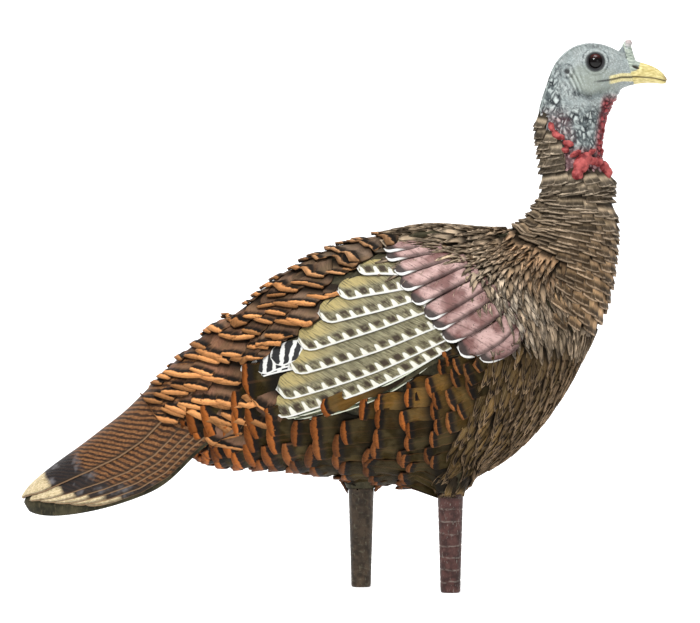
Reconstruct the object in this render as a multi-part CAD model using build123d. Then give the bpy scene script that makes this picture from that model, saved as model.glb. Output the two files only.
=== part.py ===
"""Hen turkey decoy: a hollow moulded body on two push-in legs, with a head that turns and lifts off.

Units are millimetres. +X points towards the bill, +Y to the bird's left and +Z up. The origin is on the
ground under the middle of the decoy's length. Each sub-part is written to parts/NODE.step.
"""
import os
from math import cos, hypot, pi, radians, sin

from build123d import *

# ---- Overall sizes ----
BODY_LENGTH = 446.0      # rump to the front of the breast
BODY_WIDTH = 212.0       # across the body without the wings
BODY_DEPTH = 256.0       # back to belly above the legs
LEG_LENGTH = 100.0       # ground to the end of the leg boss
LEG_TRACK = 84.0         # between the two leg axes, across the body
RIGHT_LEG_X = 107.0
LEFT_LEG_X = 17.0

# ---- Shells ----
WALL = 3.0               # moulded wall of the body and head
TAIL_THICKNESS = 9.0
WING_THICKNESS = 7.0
SEAT_GAP = 0.5           # between curved faces of pieces that are glued or screwed together
OVERCUT = 1.0            # how far a cutting shape runs past the face it opens

# ---- Legs and their sockets ----
LEG_TOP_RADIUS = 12.5
LEG_FOOT_RADIUS = 9.5
LEG_EDGE = 1.6           # rounding at the foot of a leg
SPIGOT_RADIUS = 8.0
SPIGOT_LENGTH = 42.0
SPIGOT_END_GAP = 1.5
SOCKET_WALL = 3.0
SOCKET_FLANGE = 1.5      # how far the socket's collar stands out beyond its tube
BOSS_WALL = 3.5
BOSS_FLARE = 12.0        # how much wider the boss is where it meets the belly
BOSS_HEIGHT = 30.0
KEY_WIDTH = 3.0
KEY_HEIGHT = 1.6
LEG_RING_RISE = 10.5     # from the top of a leg to its friction ring
STAKE_RADIUS = 4.76      # a three-eighths inch ground stake
STAKE_CLEARANCE = 0.24
SLEEVE_WALL = 1.0
SLEEVE_LENGTH = 62.0
RUNNING_GAP = 0.06       # radial, between parts that turn or slide in each other
SLIDING_GAP = 0.1
RING_SECTION = 1.25      # half the thickness of a friction ring
RING_GAP = 0.02

# ---- Neck swivel ----
NECK_LIP = 3.88          # of the neck left round the collar's flange
PLUG_RADIUS = 14.9
PLUG_LENGTH = 40.0
CUP_WALL = 4.0
CUP_FLOOR = 3.0
CUP_FLANGE = 3.0         # how far the cup's rim stands out to rest in the collar
COLLAR_WALL = 4.0
COLLAR_LENGTH = 32.0
COLLAR_FLANGE = 2.6
COLLAR_RIM = 6.0         # how far the collar's flange stands out beyond its tube
LEDGE = 6.0              # thickness of the ledge that carries the collar, and of the one in the head
JOINT_GAP = 0.4          # between the turning head and the body
HEAD_TURN = 75.0         # degrees each way, set by a lug in a slot
LUG_ANGLE = 10.0
LUG_REACH = 1.4
SLOT_SPARE = 1.0         # degrees left at each end of the lug's slot
CLIP_THICKNESS = 1.2
CLIP_REACH = 2.0
CLIP_GROOVE = 1.0
CLIP_MOUTH = 10.0
PLUG_FLANGE = 3.6        # thickness of the plug's flange under the head
RING_DEPTH = 6.7         # from the swivel down to the head's friction ring
KEY_DROP = 13.0          # from the swivel down to the top of the plug's key
BORE_DEPTH = 50.0        # how far below the swivel the neck's ledge is bored

# ---- Screws and eyes ----
SCREW_RADIUS = 1.25
SCREW_HEAD_RADIUS = 2.4
SCREW_HEAD_DEPTH = 1.4
SCREW_LENGTH = 9.0
SCREW_COUNT = 3
EYE_RADIUS = 8.5
EYE_SEAT_GAP = 0.05
EYE_PLUG_DEPTH = 9.0     # from the eye's outermost point to its flat back

# ---- The bird's form ----
# Each station is a ring round the body in the plane through its back point and its belly point, both
# (x, height above the leg bosses), with its half width. An egg value widens it towards the belly.
FORM_LENGTH, FORM_WIDTH, FORM_DEPTH = 446.0, 212.0, 256.0
EGG = 0.10
HALF_STEPS = 7           # spans in half a ring
BODY_STATIONS = [
    ((-172, 92), (-160, 52), 14),
    ((-163, 112), (-145, 36), 32),
    ((-140, 140), (-125, 28), 50),
    ((-108, 172), (-95, 25), 66),
    ((-68, 208), (-60, 24), 82),
    ((-25, 234), (-20, 19), 94),
    ((27, 251), (28, 12), 102),
    ((80, 262), (84, 6), 106),
    ((117, 261), (136, 20), 103),
    ((143, 259), (180, 51), 94),
    ((160, 259), (214, 94), 81),
    ((172, 262), (243, 146), 66),
    ((181, 268), (262, 191), 53),
    ((189, 277), (269, 233), 44),
    ((196, 287), (270, 267), 37),
]
SWIVEL_X, SWIVEL_HEIGHT = 233.5, 300.0
NECK_STRAIGHT = 9.0      # round part of the neck on each side of the swivel

# Head stations, (x, z) from the swivel: the ring goes up the neck, round over the throat and forward.
HEAD_STATIONS = [
    ((-35, 29), (24, 27), 28.5),
    ((-37.5, 50), (22.5, 46), 26.5),
    ((-38.5, 68), (24.5, 62), 26),
    ((-36, 86), (28, 75), 25),
    ((-30, 105), (32.5, 85), 24),
    ((-20, 128), (37, 93.5), 22.5),
    ((0, 143.5), (41.5, 99.5), 21),
    ((22, 145), (45.5, 102.5), 18.5),
    ((37.5, 139.5), (50.5, 104.5), 14),
    ((48.5, 132.5), (56.5, 106), 10.5),
]
BILL_STATIONS = [
    ((48.5, 132.5), (56.5, 106), 10.5),
    ((63, 127), (66.5, 107), 8.6),
    ((76, 122.5), (77, 107), 6.2),
    ((86, 115), (85, 106.5), 3.4),
    ((89.5, 109.5), (88, 107), 1.2),
]
EYE_PLACE = (17.5, 127.5)      # (x, z) from the swivel
EYE_SPREAD = 24.0              # from the middle plane to the eye's outermost point
SNOOD_FOOT, SNOOD_TIP = (44.0, 134.0), (50.0, 146.0)
SNOOD_RADII = (5.0, 2.8)

# Tail: stations along its axis, (distance, ridge height, edge height, half width), in the tail's frame,
# whose axis slopes down and back from its own origin on the rump.
TAIL_SLOPE = 34.5
TAIL_ORIGIN = (-132.0, 206.0)
TAIL_STATIONS = [
    (-52, 47, -44, 61),
    (-17, 42, -45, 59),
    (16, 37, -46.5, 56),
    (50, 30, -49, 53),
    (85, 23, -55, 51),
    (115, 21, -53, 49),
    (145, 19.5, -45, 46),
    (172, 19, -35, 41),
    (195, 17.5, -24, 33),
    (213, 14, -12, 22),
    (222, 9, -2, 11),
]
TAIL_SCREW_PLACE = (-17.0, -12.0)

# Wing outline seen from the side, (x, height above the leg bosses), clockwise from the shoulder.
WING_OUTLINE = [
    (60, 246), (100, 240), (134, 214), (164, 184), (176, 160), (160, 141), (120, 138), (92, 130),
    (60, 110), (10, 90), (-35, 77), (-62, 80), (-92, 106), (-94, 128), (-66, 148), (-38, 158),
    (-16, 186), (10, 216), (34, 236),
]
WING_INNER_EDGE = 22.0         # nothing of the wing lies nearer the middle plane than this
WING_PEG_RADIUS = 3.0
WING_PEG_LENGTH = 9.0
WING_PEGS = [(120, 185), (20, 140)]

PARTS = "parts"
FAR = 400.0                    # longer than anything it has to cut

stretch = Vector(BODY_LENGTH / FORM_LENGTH, BODY_WIDTH / FORM_WIDTH, BODY_DEPTH / FORM_DEPTH)
swivel = Vector(SWIVEL_X * stretch.X, 0, LEG_LENGTH + SWIVEL_HEIGHT * stretch.Z)
tail_origin = Vector(TAIL_ORIGIN[0] * stretch.X, 0, LEG_LENGTH + (TAIL_ORIGIN[1] - 100) * stretch.Z)
cup_bore = PLUG_RADIUS + RUNNING_GAP
cup_radius = cup_bore + CUP_WALL
collar_bore = cup_radius + RUNNING_GAP
collar_radius = collar_bore + COLLAR_WALL
collar_flange_radius = collar_radius + COLLAR_RIM
neck_radius = collar_flange_radius + SLIDING_GAP + NECK_LIP
screw_circle = collar_radius + COLLAR_RIM / 2
socket_bore = SPIGOT_RADIUS + SLIDING_GAP
socket_radius = socket_bore + SOCKET_WALL
socket_top = LEG_LENGTH + SPIGOT_LENGTH + SPIGOT_END_GAP
boss_radius = socket_radius + BOSS_WALL
sleeve_bore = STAKE_RADIUS + STAKE_CLEARANCE
sleeve_radius = sleeve_bore + SLEEVE_WALL


# ---- Helpers ----
def on_body(x, height):
    """A side-view point of the form, moved to the body's real size."""
    return x * stretch.X, LEG_LENGTH + height * stretch.Z


def ring(back, belly, half_width, grow=0.0, egg=EGG):
    """A closed egg-shaped wire through two points of the middle plane, grown evenly.

    Its two halves meet on the middle plane, square to it, as the halves of the mould do.
    """
    middle = ((back[0] + belly[0]) / 2, (back[1] + belly[1]) / 2)
    half = hypot(back[0] - belly[0], back[1] - belly[1]) / 2
    up = ((back[0] - middle[0]) / half, (back[1] - middle[1]) / half)
    halves = []
    for first, side in ((0, 1), (HALF_STEPS, -1)):
        points = []
        for k in range(first, first + HALF_STEPS + 1):
            turn = pi * k / HALF_STEPS
            rise = (half + grow) * cos(turn)
            reach = (half_width + grow) * sin(turn) * (1 - egg * cos(turn))
            points.append((middle[0] + up[0] * rise, reach, middle[1] + up[1] * rise))
        halves.append(Spline(*points, tangents=[(0, side, 0), (0, -side, 0)]))
    return Wire(halves)


def level_ring(height, radius):
    """A round ring about the swivel axis at a height."""
    return ring((swivel.X - radius, height), (swivel.X + radius, height), radius, egg=0.0)


def tube(outer, inner, low, high, x=0.0, y=0.0):
    """A plain tube about a vertical axis."""
    return rod(outer, low, high, x, y) - rod(inner, low, high, x, y)


def rod(radius, low, high, x=0.0, y=0.0):
    """A vertical cylinder between two heights."""
    return Pos(x, y, (low + high) / 2) * Cylinder(radius, high - low)


def block(low, high):
    """An axis-aligned box between two corners."""
    size = [b - a for a, b in zip(low, high)]
    return Pos(*[(a + b) / 2 for a, b in zip(low, high)]) * Box(*size)


def ring_groove(radius, height, x, y=0.0):
    """What to cut from a stem of this radius to seat a friction ring at a height."""
    low, high = height - RING_SECTION, height + RING_SECTION
    return tube(radius + OVERCUT, radius - 2 * RING_SECTION, low, high, x, y)


def torus(radius, section, height, x=0.0, y=0.0):
    """A ring of round section about a vertical axis."""
    return Pos(x, y, height) * Torus(radius, section)


def screw_at(x, y, head_top, length=SCREW_LENGTH):
    """A flat-headed screw pointing down from the top of its head."""
    shank = rod(SCREW_RADIUS, head_top - length, head_top, x, y)
    return shank + rod(SCREW_HEAD_RADIUS, head_top - SCREW_HEAD_DEPTH, head_top, x, y)


def screw_hole(x, y, head_top, length=SCREW_LENGTH):
    """The hole that takes the same screw with a small gap all round."""
    shank = rod(SCREW_RADIUS + SLIDING_GAP, head_top - length - SLIDING_GAP, head_top, x, y)
    low = head_top - SCREW_HEAD_DEPTH - SLIDING_GAP
    return shank + rod(SCREW_HEAD_RADIUS + SLIDING_GAP, low, head_top + OVERCUT, x, y)


def around_swivel(count=SCREW_COUNT, offset=0.0):
    """Places on the screw circle of the swivel."""
    for k in range(count):
        angle = radians(offset + 360 * k / count)
        yield swivel.X + screw_circle * cos(angle), screw_circle * sin(angle)


# ---- Forms ----
def body_form(grow=0.0):
    """The body's outer form up to the swivel, or a copy grown or shrunk evenly."""
    rings = []
    for back, belly, half_width in BODY_STATIONS:
        back, belly = on_body(*back), on_body(*belly)
        if not rings:
            back, belly = (back[0] - grow, back[1]), (belly[0] - grow, belly[1])
        rings.append(ring(back, belly, half_width * stretch.Y, grow))
    rings.append(level_ring(swivel.Z - NECK_STRAIGHT, neck_radius + grow))
    rings.append(level_ring(swivel.Z, neck_radius + grow))
    return Solid.make_loft(rings)


def head_rings(stations, grow=0.0):
    """Rings of the head's or the bill's stations, placed on the swivel."""
    for back, belly, half_width in stations:
        back = (swivel.X + back[0], swivel.Z + back[1])
        belly = (swivel.X + belly[0], swivel.Z + belly[1])
        yield ring(back, belly, half_width, grow, egg=0.0)


def head_form(grow=0.0, stations=HEAD_STATIONS):
    """The head's outer form from the swivel to the bill, or a copy grown or shrunk evenly."""
    base = [level_ring(swivel.Z + JOINT_GAP, neck_radius + grow)]
    base.append(level_ring(swivel.Z + NECK_STRAIGHT, neck_radius + grow))
    return Solid.make_loft(base + list(head_rings(stations, grow)))


def tail_point(along, height, side=0.0):
    """A point of the tail's own frame in the model's frame."""
    slope = radians(TAIL_SLOPE)
    x = tail_origin.X - along * cos(slope) - height * sin(slope)
    z = tail_origin.Z - along * sin(slope) + height * cos(slope)
    return x, side, z


def tail_section(along, ridge, edge, half_width, thickness):
    """A roof-shaped closed face across the tail: an outer arch, an inner arch and two narrow edges."""
    def arch(inset):
        rise, reach = ridge - edge - inset, half_width - inset
        turns = [pi * (k / 8 - 0.5) for k in range(9)]
        return Spline(*[tail_point(along, edge + rise * cos(t), reach * sin(t)) for t in turns])
    outer, inner = arch(0.0), arch(thickness)
    sides = [Line(outer @ 0, inner @ 0), Line(outer @ 1, inner @ 1)]
    return Wire([outer, sides[1], inner, sides[0]])


# ---- Body and what is fixed to it ----
def leg_places():
    """Name and axis of each leg."""
    right = (RIGHT_LEG_X * stretch.X, -LEG_TRACK / 2)
    left = (LEFT_LEG_X * stretch.X, LEG_TRACK / 2)
    return {"right": right, "left": left}


def wing_pegs(side, gap=0.0):
    """The pegs that hold a wing, or their holes when a gap is given."""
    pegs = []
    for x, height in WING_PEGS:
        px, pz = on_body(x, height)
        skin = body_form() & block((px - 1, min(0, side * FAR), pz - 1), (px + 1, max(0, side * FAR), pz + 1))
        reach = max(abs(skin.bounding_box().min.Y), abs(skin.bounding_box().max.Y))
        start, end = reach - WING_PEG_LENGTH - gap, reach + WING_THICKNESS / 2
        place = Pos(px, side * (start + end) / 2, pz) * Rot(90, 0, 0)
        pegs.append(place * Cylinder(WING_PEG_RADIUS + gap, end - start))
    return pegs


def make_wing(side):
    """A moulded wing panel that follows the body's side."""
    points = [on_body(x, height) for x, height in WING_OUTLINE]
    edge = Spline(*[(x, 0, z) for x, z in points], periodic=True)
    prism = extrude(make_face(edge), FAR, dir=(0, side, 0))
    prism -= block((-FAR, -WING_INNER_EDGE, 0), (FAR, WING_INNER_EDGE, 2 * FAR))
    panel = (body_form(WING_THICKNESS) - body_form(SEAT_GAP)) & prism
    for peg in wing_pegs(side):
        panel += peg
    return panel


def make_tail(wings):
    """The tail: an arched shell that caps the rump and clears the wings."""
    sections = [tail_section(*station, TAIL_THICKNESS) for station in TAIL_STATIONS[:-2]]
    for along, ridge, edge, half_width in TAIL_STATIONS[-2:]:
        sections.append(tail_section(along, ridge, edge, half_width, min(TAIL_THICKNESS, half_width / 2)))
    tail = Solid.make_loft(sections) - body_form(SEAT_GAP)
    tail -= body_form()
    for wing in wings:
        tail -= wing
    return tail


def tail_screws(make=screw_at):
    """One screw through each side of the tail into the rump, or their holes."""
    screws = []
    x, _, z = tail_point(*TAIL_SCREW_PLACE)
    rise = (TAIL_SCREW_PLACE[1] - TAIL_STATIONS[1][2]) / (TAIL_STATIONS[1][1] - TAIL_STATIONS[1][2])
    surface = TAIL_STATIONS[1][3] * (1 - rise ** 2) ** 0.5
    for side in (-1, 1):
        upright = make(0, 0, 0, SCREW_LENGTH + TAIL_THICKNESS)
        screws.append(Pos(x, side * (surface - 1), z) * Rot(-90 * side, 0, 0) * upright)
    return screws


def make_leg_socket(x, y):
    """The bushing pressed into a leg boss, with a keyway for the leg."""
    body = tube(socket_radius, socket_bore, LEG_LENGTH, socket_top, x, y)
    body += rod(socket_radius, socket_top, socket_top + SOCKET_WALL, x, y)
    collar = tube(socket_radius + SOCKET_FLANGE, socket_radius, LEG_LENGTH, LEG_LENGTH + SOCKET_FLANGE, x, y)
    return body + collar - leg_key_way(x, y)


def leg_key(x, y):
    """The rib on a leg's spigot that stops it turning."""
    low, high = LEG_LENGTH + SPIGOT_LENGTH / 2, LEG_LENGTH + SPIGOT_LENGTH
    return block((x, y - KEY_WIDTH / 2, low), (x + SPIGOT_RADIUS + KEY_HEIGHT, y + KEY_WIDTH / 2, high))


def leg_key_way(x, y):
    """The groove in the socket for that rib, open at the bottom."""
    half, reach = KEY_WIDTH / 2 + SLIDING_GAP, SPIGOT_RADIUS + KEY_HEIGHT + SLIDING_GAP
    return block((x, y - half, LEG_LENGTH - OVERCUT), (x + reach, y + half, socket_top))


def make_body():
    """The hollow body with its leg bosses, neck ledge and the holes for what is fixed to it."""
    outer = body_form()
    cavity = body_form(-WALL)
    cavity -= block((-FAR, -FAR, swivel.Z - COLLAR_FLANGE - LEDGE), (FAR, FAR, 2 * FAR))
    shell = outer - cavity
    for x, y in leg_places().values():
        middle = Pos(x, y, LEG_LENGTH + BOSS_HEIGHT / 2)
        flare = middle * Cone(boss_radius, boss_radius + BOSS_FLARE, BOSS_HEIGHT)
        post = rod(boss_radius, LEG_LENGTH, socket_top + SOCKET_WALL + BOSS_WALL, x, y)
        shell += (flare - cavity) + post
        shell -= rod(socket_radius, LEG_LENGTH - OVERCUT, socket_top + SOCKET_WALL, x, y)
        shell -= rod(socket_radius + SOCKET_FLANGE, LEG_LENGTH - OVERCUT, LEG_LENGTH + SOCKET_FLANGE, x, y)
    shell -= rod(collar_flange_radius + SLIDING_GAP, swivel.Z - COLLAR_FLANGE, swivel.Z + OVERCUT, swivel.X)
    shell -= rod(collar_radius, swivel.Z - BORE_DEPTH, swivel.Z, swivel.X)
    for x, y in around_swivel():
        shell -= rod(SCREW_RADIUS, swivel.Z - SCREW_LENGTH - OVERCUT, swivel.Z, x, y)
    for side in (-1, 1):
        for hole in wing_pegs(side, SLIDING_GAP):
            shell -= hole
    for hole in tail_screws(screw_hole):
        shell -= hole
    return shell


def make_neck_collar():
    """The flanged bearing ring at the top of the neck, with the slot that limits the turn."""
    top, bottom = swivel.Z, swivel.Z - COLLAR_LENGTH
    ring_part = tube(collar_radius, collar_bore, bottom, top, swivel.X)
    ring_part += tube(collar_flange_radius, collar_radius, top - COLLAR_FLANGE, top, swivel.X)
    seat = collar_bore + CUP_FLANGE
    ring_part -= rod(seat, top - COLLAR_FLANGE, top + OVERCUT, swivel.X)
    half_slot = HEAD_TURN + LUG_ANGLE / 2 + SLOT_SPARE
    ring_part -= sector(seat + LUG_REACH + SLIDING_GAP, top - COLLAR_FLANGE, top + OVERCUT, half_slot)
    for x, y in around_swivel():
        ring_part -= screw_hole(x, y, top)
    return ring_part


def sector(radius, low, high, half_angle):
    """A wedge of a disc about the swivel, centred on the side away from the bill."""
    points = [(0, 0)]
    steps = 12
    for k in range(steps + 1):
        angle = pi + radians(half_angle) * (2 * k / steps - 1)
        points.append((2 * radius * cos(angle), 2 * radius * sin(angle)))
    wedge = extrude(make_face(Polyline(*points, close=True)), high - low)
    return (Pos(swivel.X, 0, low) * wedge) & rod(radius, low, high, swivel.X)


# ---- Swivel cup ----
def make_swivel_cup():
    """The cup that turns in the collar and takes the head's plug."""
    top = swivel.Z
    floor = top - PLUG_LENGTH - SPIGOT_END_GAP
    cup = rod(cup_radius, floor - CUP_FLOOR, top, swivel.X)
    cup += rod(collar_bore + CUP_FLANGE - SLIDING_GAP, top - COLLAR_FLANGE + RUNNING_GAP, top, swivel.X)
    lug = sector(collar_bore + CUP_FLANGE + LUG_REACH, top - COLLAR_FLANGE + RUNNING_GAP, top, LUG_ANGLE / 2)
    cup = cup + lug - rod(cup_bore, floor, top + OVERCUT, swivel.X) - key_way()
    high = top - COLLAR_LENGTH - RUNNING_GAP
    return cup - tube(cup_radius + OVERCUT, cup_radius - CLIP_GROOVE, high - CLIP_THICKNESS, high, swivel.X)


def make_swivel_clip():
    """The open spring clip that keeps the cup in the collar."""
    top = swivel.Z - COLLAR_LENGTH - RUNNING_GAP
    clip = tube(cup_radius + CLIP_REACH, cup_radius - CLIP_GROOVE, top - CLIP_THICKNESS, top, swivel.X)
    low, high = top - CLIP_THICKNESS - OVERCUT, top + OVERCUT
    mouth = block((swivel.X, -CLIP_MOUTH / 2, low), (swivel.X + FAR, CLIP_MOUTH / 2, high))
    return clip - mouth


def plug_key():
    """The rib on the head's plug that makes the cup turn with the head."""
    low, high = swivel.Z - PLUG_LENGTH, swivel.Z - KEY_DROP
    return block((swivel.X, -KEY_WIDTH / 2, low), (swivel.X + PLUG_RADIUS + KEY_HEIGHT, KEY_WIDTH / 2, high))


def key_way():
    """The groove in the cup for that rib, open at the top."""
    half, reach = KEY_WIDTH / 2 + SLIDING_GAP, PLUG_RADIUS + KEY_HEIGHT + SLIDING_GAP
    low = swivel.Z - PLUG_LENGTH - SPIGOT_END_GAP
    return block((swivel.X, -half, low), (swivel.X + reach, half, swivel.Z + OVERCUT))


# ---- Head ----
def make_head():
    """The hollow head and upper neck, open at the bottom, with sockets for the eyes and a ledge."""
    outer = head_form()
    cavity = head_form(-WALL, HEAD_STATIONS[:-1])
    low = swivel.Z + JOINT_GAP
    ledge_low = low + PLUG_FLANGE
    ledge_bore = screw_circle - SCREW_HEAD_RADIUS - SCREW_RADIUS
    ledge = tube(neck_radius + OVERCUT, ledge_bore, ledge_low, ledge_low + LEDGE, swivel.X)
    shell = outer - (cavity - ledge) - rod(neck_radius - WALL, low - OVERCUT, ledge_low, swivel.X)
    for x, y in around_swivel(offset=60):
        shell -= rod(SCREW_RADIUS, low, low + SCREW_LENGTH, x, y)
    shell += make_snood()
    for side in (-1, 1):
        shell -= eye_ball(side, EYE_SEAT_GAP)
    return shell


def make_snood():
    """The small fleshy finger above the bill."""
    foot = Vector(swivel.X + SNOOD_FOOT[0], 0, swivel.Z + SNOOD_FOOT[1])
    tip = Vector(swivel.X + SNOOD_TIP[0], 0, swivel.Z + SNOOD_TIP[1])
    axis = tip - foot
    plane = Plane(origin=(foot + tip) * 0.5, z_dir=axis)
    return plane * Cone(SNOOD_RADII[0], SNOOD_RADII[1], axis.length) + Pos(tip) * Sphere(SNOOD_RADII[1])


def eye_ball(side, gap=0.0):
    """The eye's ball, whole, at its place; a gap gives its socket."""
    x, z = swivel.X + EYE_PLACE[0], swivel.Z + EYE_PLACE[1]
    ball = Pos(x, side * (EYE_SPREAD - EYE_RADIUS), z) * Sphere(EYE_RADIUS + gap)
    back = EYE_SPREAD - EYE_PLUG_DEPTH - gap
    inner = sorted((side * back, -side * FAR))
    return ball - block((-FAR, inner[0], 0), (FAR, inner[1], 2 * FAR))


def make_head_plug():
    """The plug under the head: a flange screwed to the head and a keyed stem that goes in the cup."""
    top = swivel.Z + JOINT_GAP
    flange = rod(neck_radius - WALL - SLIDING_GAP, top, top + PLUG_FLANGE, swivel.X)
    stem = rod(PLUG_RADIUS, swivel.Z - PLUG_LENGTH, top, swivel.X)
    plug = flange + stem + plug_key()
    for x, y in around_swivel(offset=60):
        hole = rod(SCREW_RADIUS + SLIDING_GAP, top, top + SCREW_LENGTH, x, y)
        high = top + SCREW_HEAD_DEPTH + SLIDING_GAP
        recess = rod(SCREW_HEAD_RADIUS + SLIDING_GAP, top - OVERCUT, high, x, y)
        plug -= hole + recess
    return plug - ring_groove(PLUG_RADIUS, swivel.Z - RING_DEPTH, swivel.X)


def make_head_ring():
    """The rubber ring that holds the head's plug in the cup."""
    return torus(cup_bore - RING_GAP - RING_SECTION, RING_SECTION, swivel.Z - RING_DEPTH, swivel.X)


def head_plug_screws():
    """Screws that point up through the plug's flange into the head."""
    low = swivel.Z + JOINT_GAP
    return [Pos(x, y, low) * Rot(180, 0, 0) * screw_at(0, 0, 0) for x, y in around_swivel(offset=60)]


def make_bill():
    """The hard bill let into the front of the head."""
    return Solid.make_loft(list(head_rings(BILL_STATIONS)))


# ---- Legs ----
def make_leg(x, y):
    """A tapered leg with its keyed spigot above and a blind bore for the stake's sleeve below."""
    shaft = Pos(x, y, LEG_LENGTH / 2) * Cone(LEG_FOOT_RADIUS, LEG_TOP_RADIUS, LEG_LENGTH)
    shaft = fillet(shaft.edges().sort_by(Axis.Z)[0], LEG_EDGE)
    leg = shaft + rod(SPIGOT_RADIUS, LEG_LENGTH - OVERCUT, LEG_LENGTH + SPIGOT_LENGTH, x, y) + leg_key(x, y)
    leg -= ring_groove(SPIGOT_RADIUS, LEG_LENGTH + LEG_RING_RISE, x, y)
    return leg - rod(sleeve_radius, -OVERCUT, SLEEVE_LENGTH, x, y)


def make_leg_ring(x, y):
    """The rubber ring that holds a leg's spigot in its socket."""
    return torus(socket_bore - RING_GAP - RING_SECTION, RING_SECTION, LEG_LENGTH + LEG_RING_RISE, x, y)


def make_sleeve(x, y):
    """The steel tube that lines the stake's bore."""
    return tube(sleeve_radius, sleeve_bore, 0, SLEEVE_LENGTH, x, y)


def group(shapes):
    """Several separate solids as one shape."""
    return Compound(children=[s for shape in shapes for s in shape.solids()])


def main():
    wings = {"right": make_wing(-1), "left": make_wing(1)}
    tail = make_tail(wings.values())
    for hole in tail_screws(screw_hole):
        tail -= hole
    head = make_head()
    nodes = {
        "body_shell": make_body(),
        "right_wing": wings["right"],
        "left_wing": wings["left"],
        "tail_fan": tail,
        "tail_screws": group(tail_screws()),
        "neck_collar": make_neck_collar(),
        "neck_collar_screws": group(screw_at(x, y, swivel.Z) for x, y in around_swivel()),
        "swivel_cup": make_swivel_cup(),
        "swivel_clip": make_swivel_clip(),
        "head_shell": head,
        "bill": make_bill() - head,
        "head_plug": make_head_plug(),
        "head_plug_screws": group(head_plug_screws()),
        "head_ring": make_head_ring(),
        "right_eye": eye_ball(-1),
        "left_eye": eye_ball(1),
    }
    for name, place in leg_places().items():
        nodes[f"{name}_leg"] = make_leg(*place)
        nodes[f"{name}_leg_socket"] = make_leg_socket(*place)
        nodes[f"{name}_leg_ring"] = make_leg_ring(*place)
        nodes[f"{name}_stake_sleeve"] = make_sleeve(*place)
    os.makedirs(PARTS, exist_ok=True)
    for name, shape in nodes.items():
        export_step(shape, f"{PARTS}/{name}.step")


main()
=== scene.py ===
"""Hen turkey decoy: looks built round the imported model.

The coat, wings, tail, head and legs are each made by their own operator, in metres, in the model's frame:
+X towards the bill, +Y to the bird's left, +Z up, origin on the ground. Tables of places are in millimetres.
"""
import random
from math import cos, hypot, pi, radians, sin, sqrt

import bmesh
import bpy
from mathutils import Matrix, Vector, noise
from mathutils.bvhtree import BVHTree


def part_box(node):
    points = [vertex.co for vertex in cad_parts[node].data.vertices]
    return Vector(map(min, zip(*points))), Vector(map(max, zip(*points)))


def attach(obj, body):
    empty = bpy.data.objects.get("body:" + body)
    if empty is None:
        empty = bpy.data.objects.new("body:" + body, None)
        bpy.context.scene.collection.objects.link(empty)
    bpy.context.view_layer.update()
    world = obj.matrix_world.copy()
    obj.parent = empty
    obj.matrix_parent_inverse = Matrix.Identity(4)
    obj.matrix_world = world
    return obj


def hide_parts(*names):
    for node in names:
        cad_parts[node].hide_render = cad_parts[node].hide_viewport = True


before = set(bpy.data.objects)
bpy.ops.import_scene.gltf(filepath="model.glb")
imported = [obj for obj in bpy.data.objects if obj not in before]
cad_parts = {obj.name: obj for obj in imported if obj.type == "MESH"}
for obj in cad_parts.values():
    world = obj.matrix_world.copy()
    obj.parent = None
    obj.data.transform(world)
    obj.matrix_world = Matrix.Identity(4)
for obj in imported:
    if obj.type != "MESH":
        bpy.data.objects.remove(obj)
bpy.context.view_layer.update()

bl_info = {
    "name": "Turkey decoy looks",
    "version": (1, 0, 0),
    "blender": (4, 5, 0),
    "location": "View3D > Sidebar > Decoy",
    "description": "Feather coat, wings, tail, head and legs of a hen turkey decoy",
    "category": "Object",
}

MM = 0.001
SIDES = {"right": -1, "left": 1}
DIRECTIONS = 144         # rays cast round each ring of the form
FORM_STEP = 0.12         # spacing of the form's rings, in guide lines

# Guide lines of the coat, (back point, belly point) of each ring, from the neck's joint to under the tail.
BODY_GUIDES = [
    ((200.5, 399.5), (266.5, 399.5)), ((196, 387), (270, 367)), ((189, 377), (269, 333)),
    ((181, 368), (262, 291)), ((172, 362), (243, 246)), ((160, 359), (214, 194)), ((143, 359), (180, 151)),
    ((117, 361), (136, 122)), ((80, 362), (84, 108)), ((27, 351), (28, 113)), ((-25, 334), (-20, 119)),
    ((-68, 308), (-60, 124)), ((-108, 280), (-95, 126)), ((-146, 256), (-122, 130)),
    ((-182, 233), (-139, 136)),
    ((-216, 209), (-156, 138)),
]
# Guide lines of the head, from the joint up the neck and over the face to the bill.
HEAD_GUIDES = [
    ((200.5, 401), (266.5, 401)), ((198.5, 429), (257.5, 427)), ((196, 450), (256, 446)),
    ((195, 468), (258, 462)), ((197.5, 486), (261.5, 475)), ((203.5, 505), (266, 485)),
    ((213.5, 528), (270.5, 493.5)), ((233.5, 543.5), (275, 499.5)), ((255.5, 545), (279, 502.5)),
    ((271, 539.5), (284, 504.5)), ((282, 532.5), (290, 506)),
]
BILL_GUIDES = [
    ((282, 532.5), (290, 506)), ((296.5, 527), (300, 507)), ((309.5, 522.5), (310.5, 507)),
    ((319.5, 515), (318.5, 506.5)), ((322.7, 510), (321.6, 507.2)),
]
EYE = (251.0, 527.5)
EAR = (223.0, 518.0)


# ---- Small helpers ----
def smooth(low, high, value):
    """0 below low, 1 above high, and a smooth rise between them."""
    t = min(1.0, max(0.0, (value - low) / (high - low)))
    return t * t * (3 - 2 * t)


def bump(value, middle, reach):
    """1 at the middle and 0 beyond reach, smoothly."""
    return smooth(reach, 0.0, abs(value - middle)) if reach > 0 else 0.0


def lerp(a, b, t):
    return a + (b - a) * t


def mix3(a, b, t):
    return tuple(lerp(p, q, t) for p, q in zip(a, b))


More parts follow.
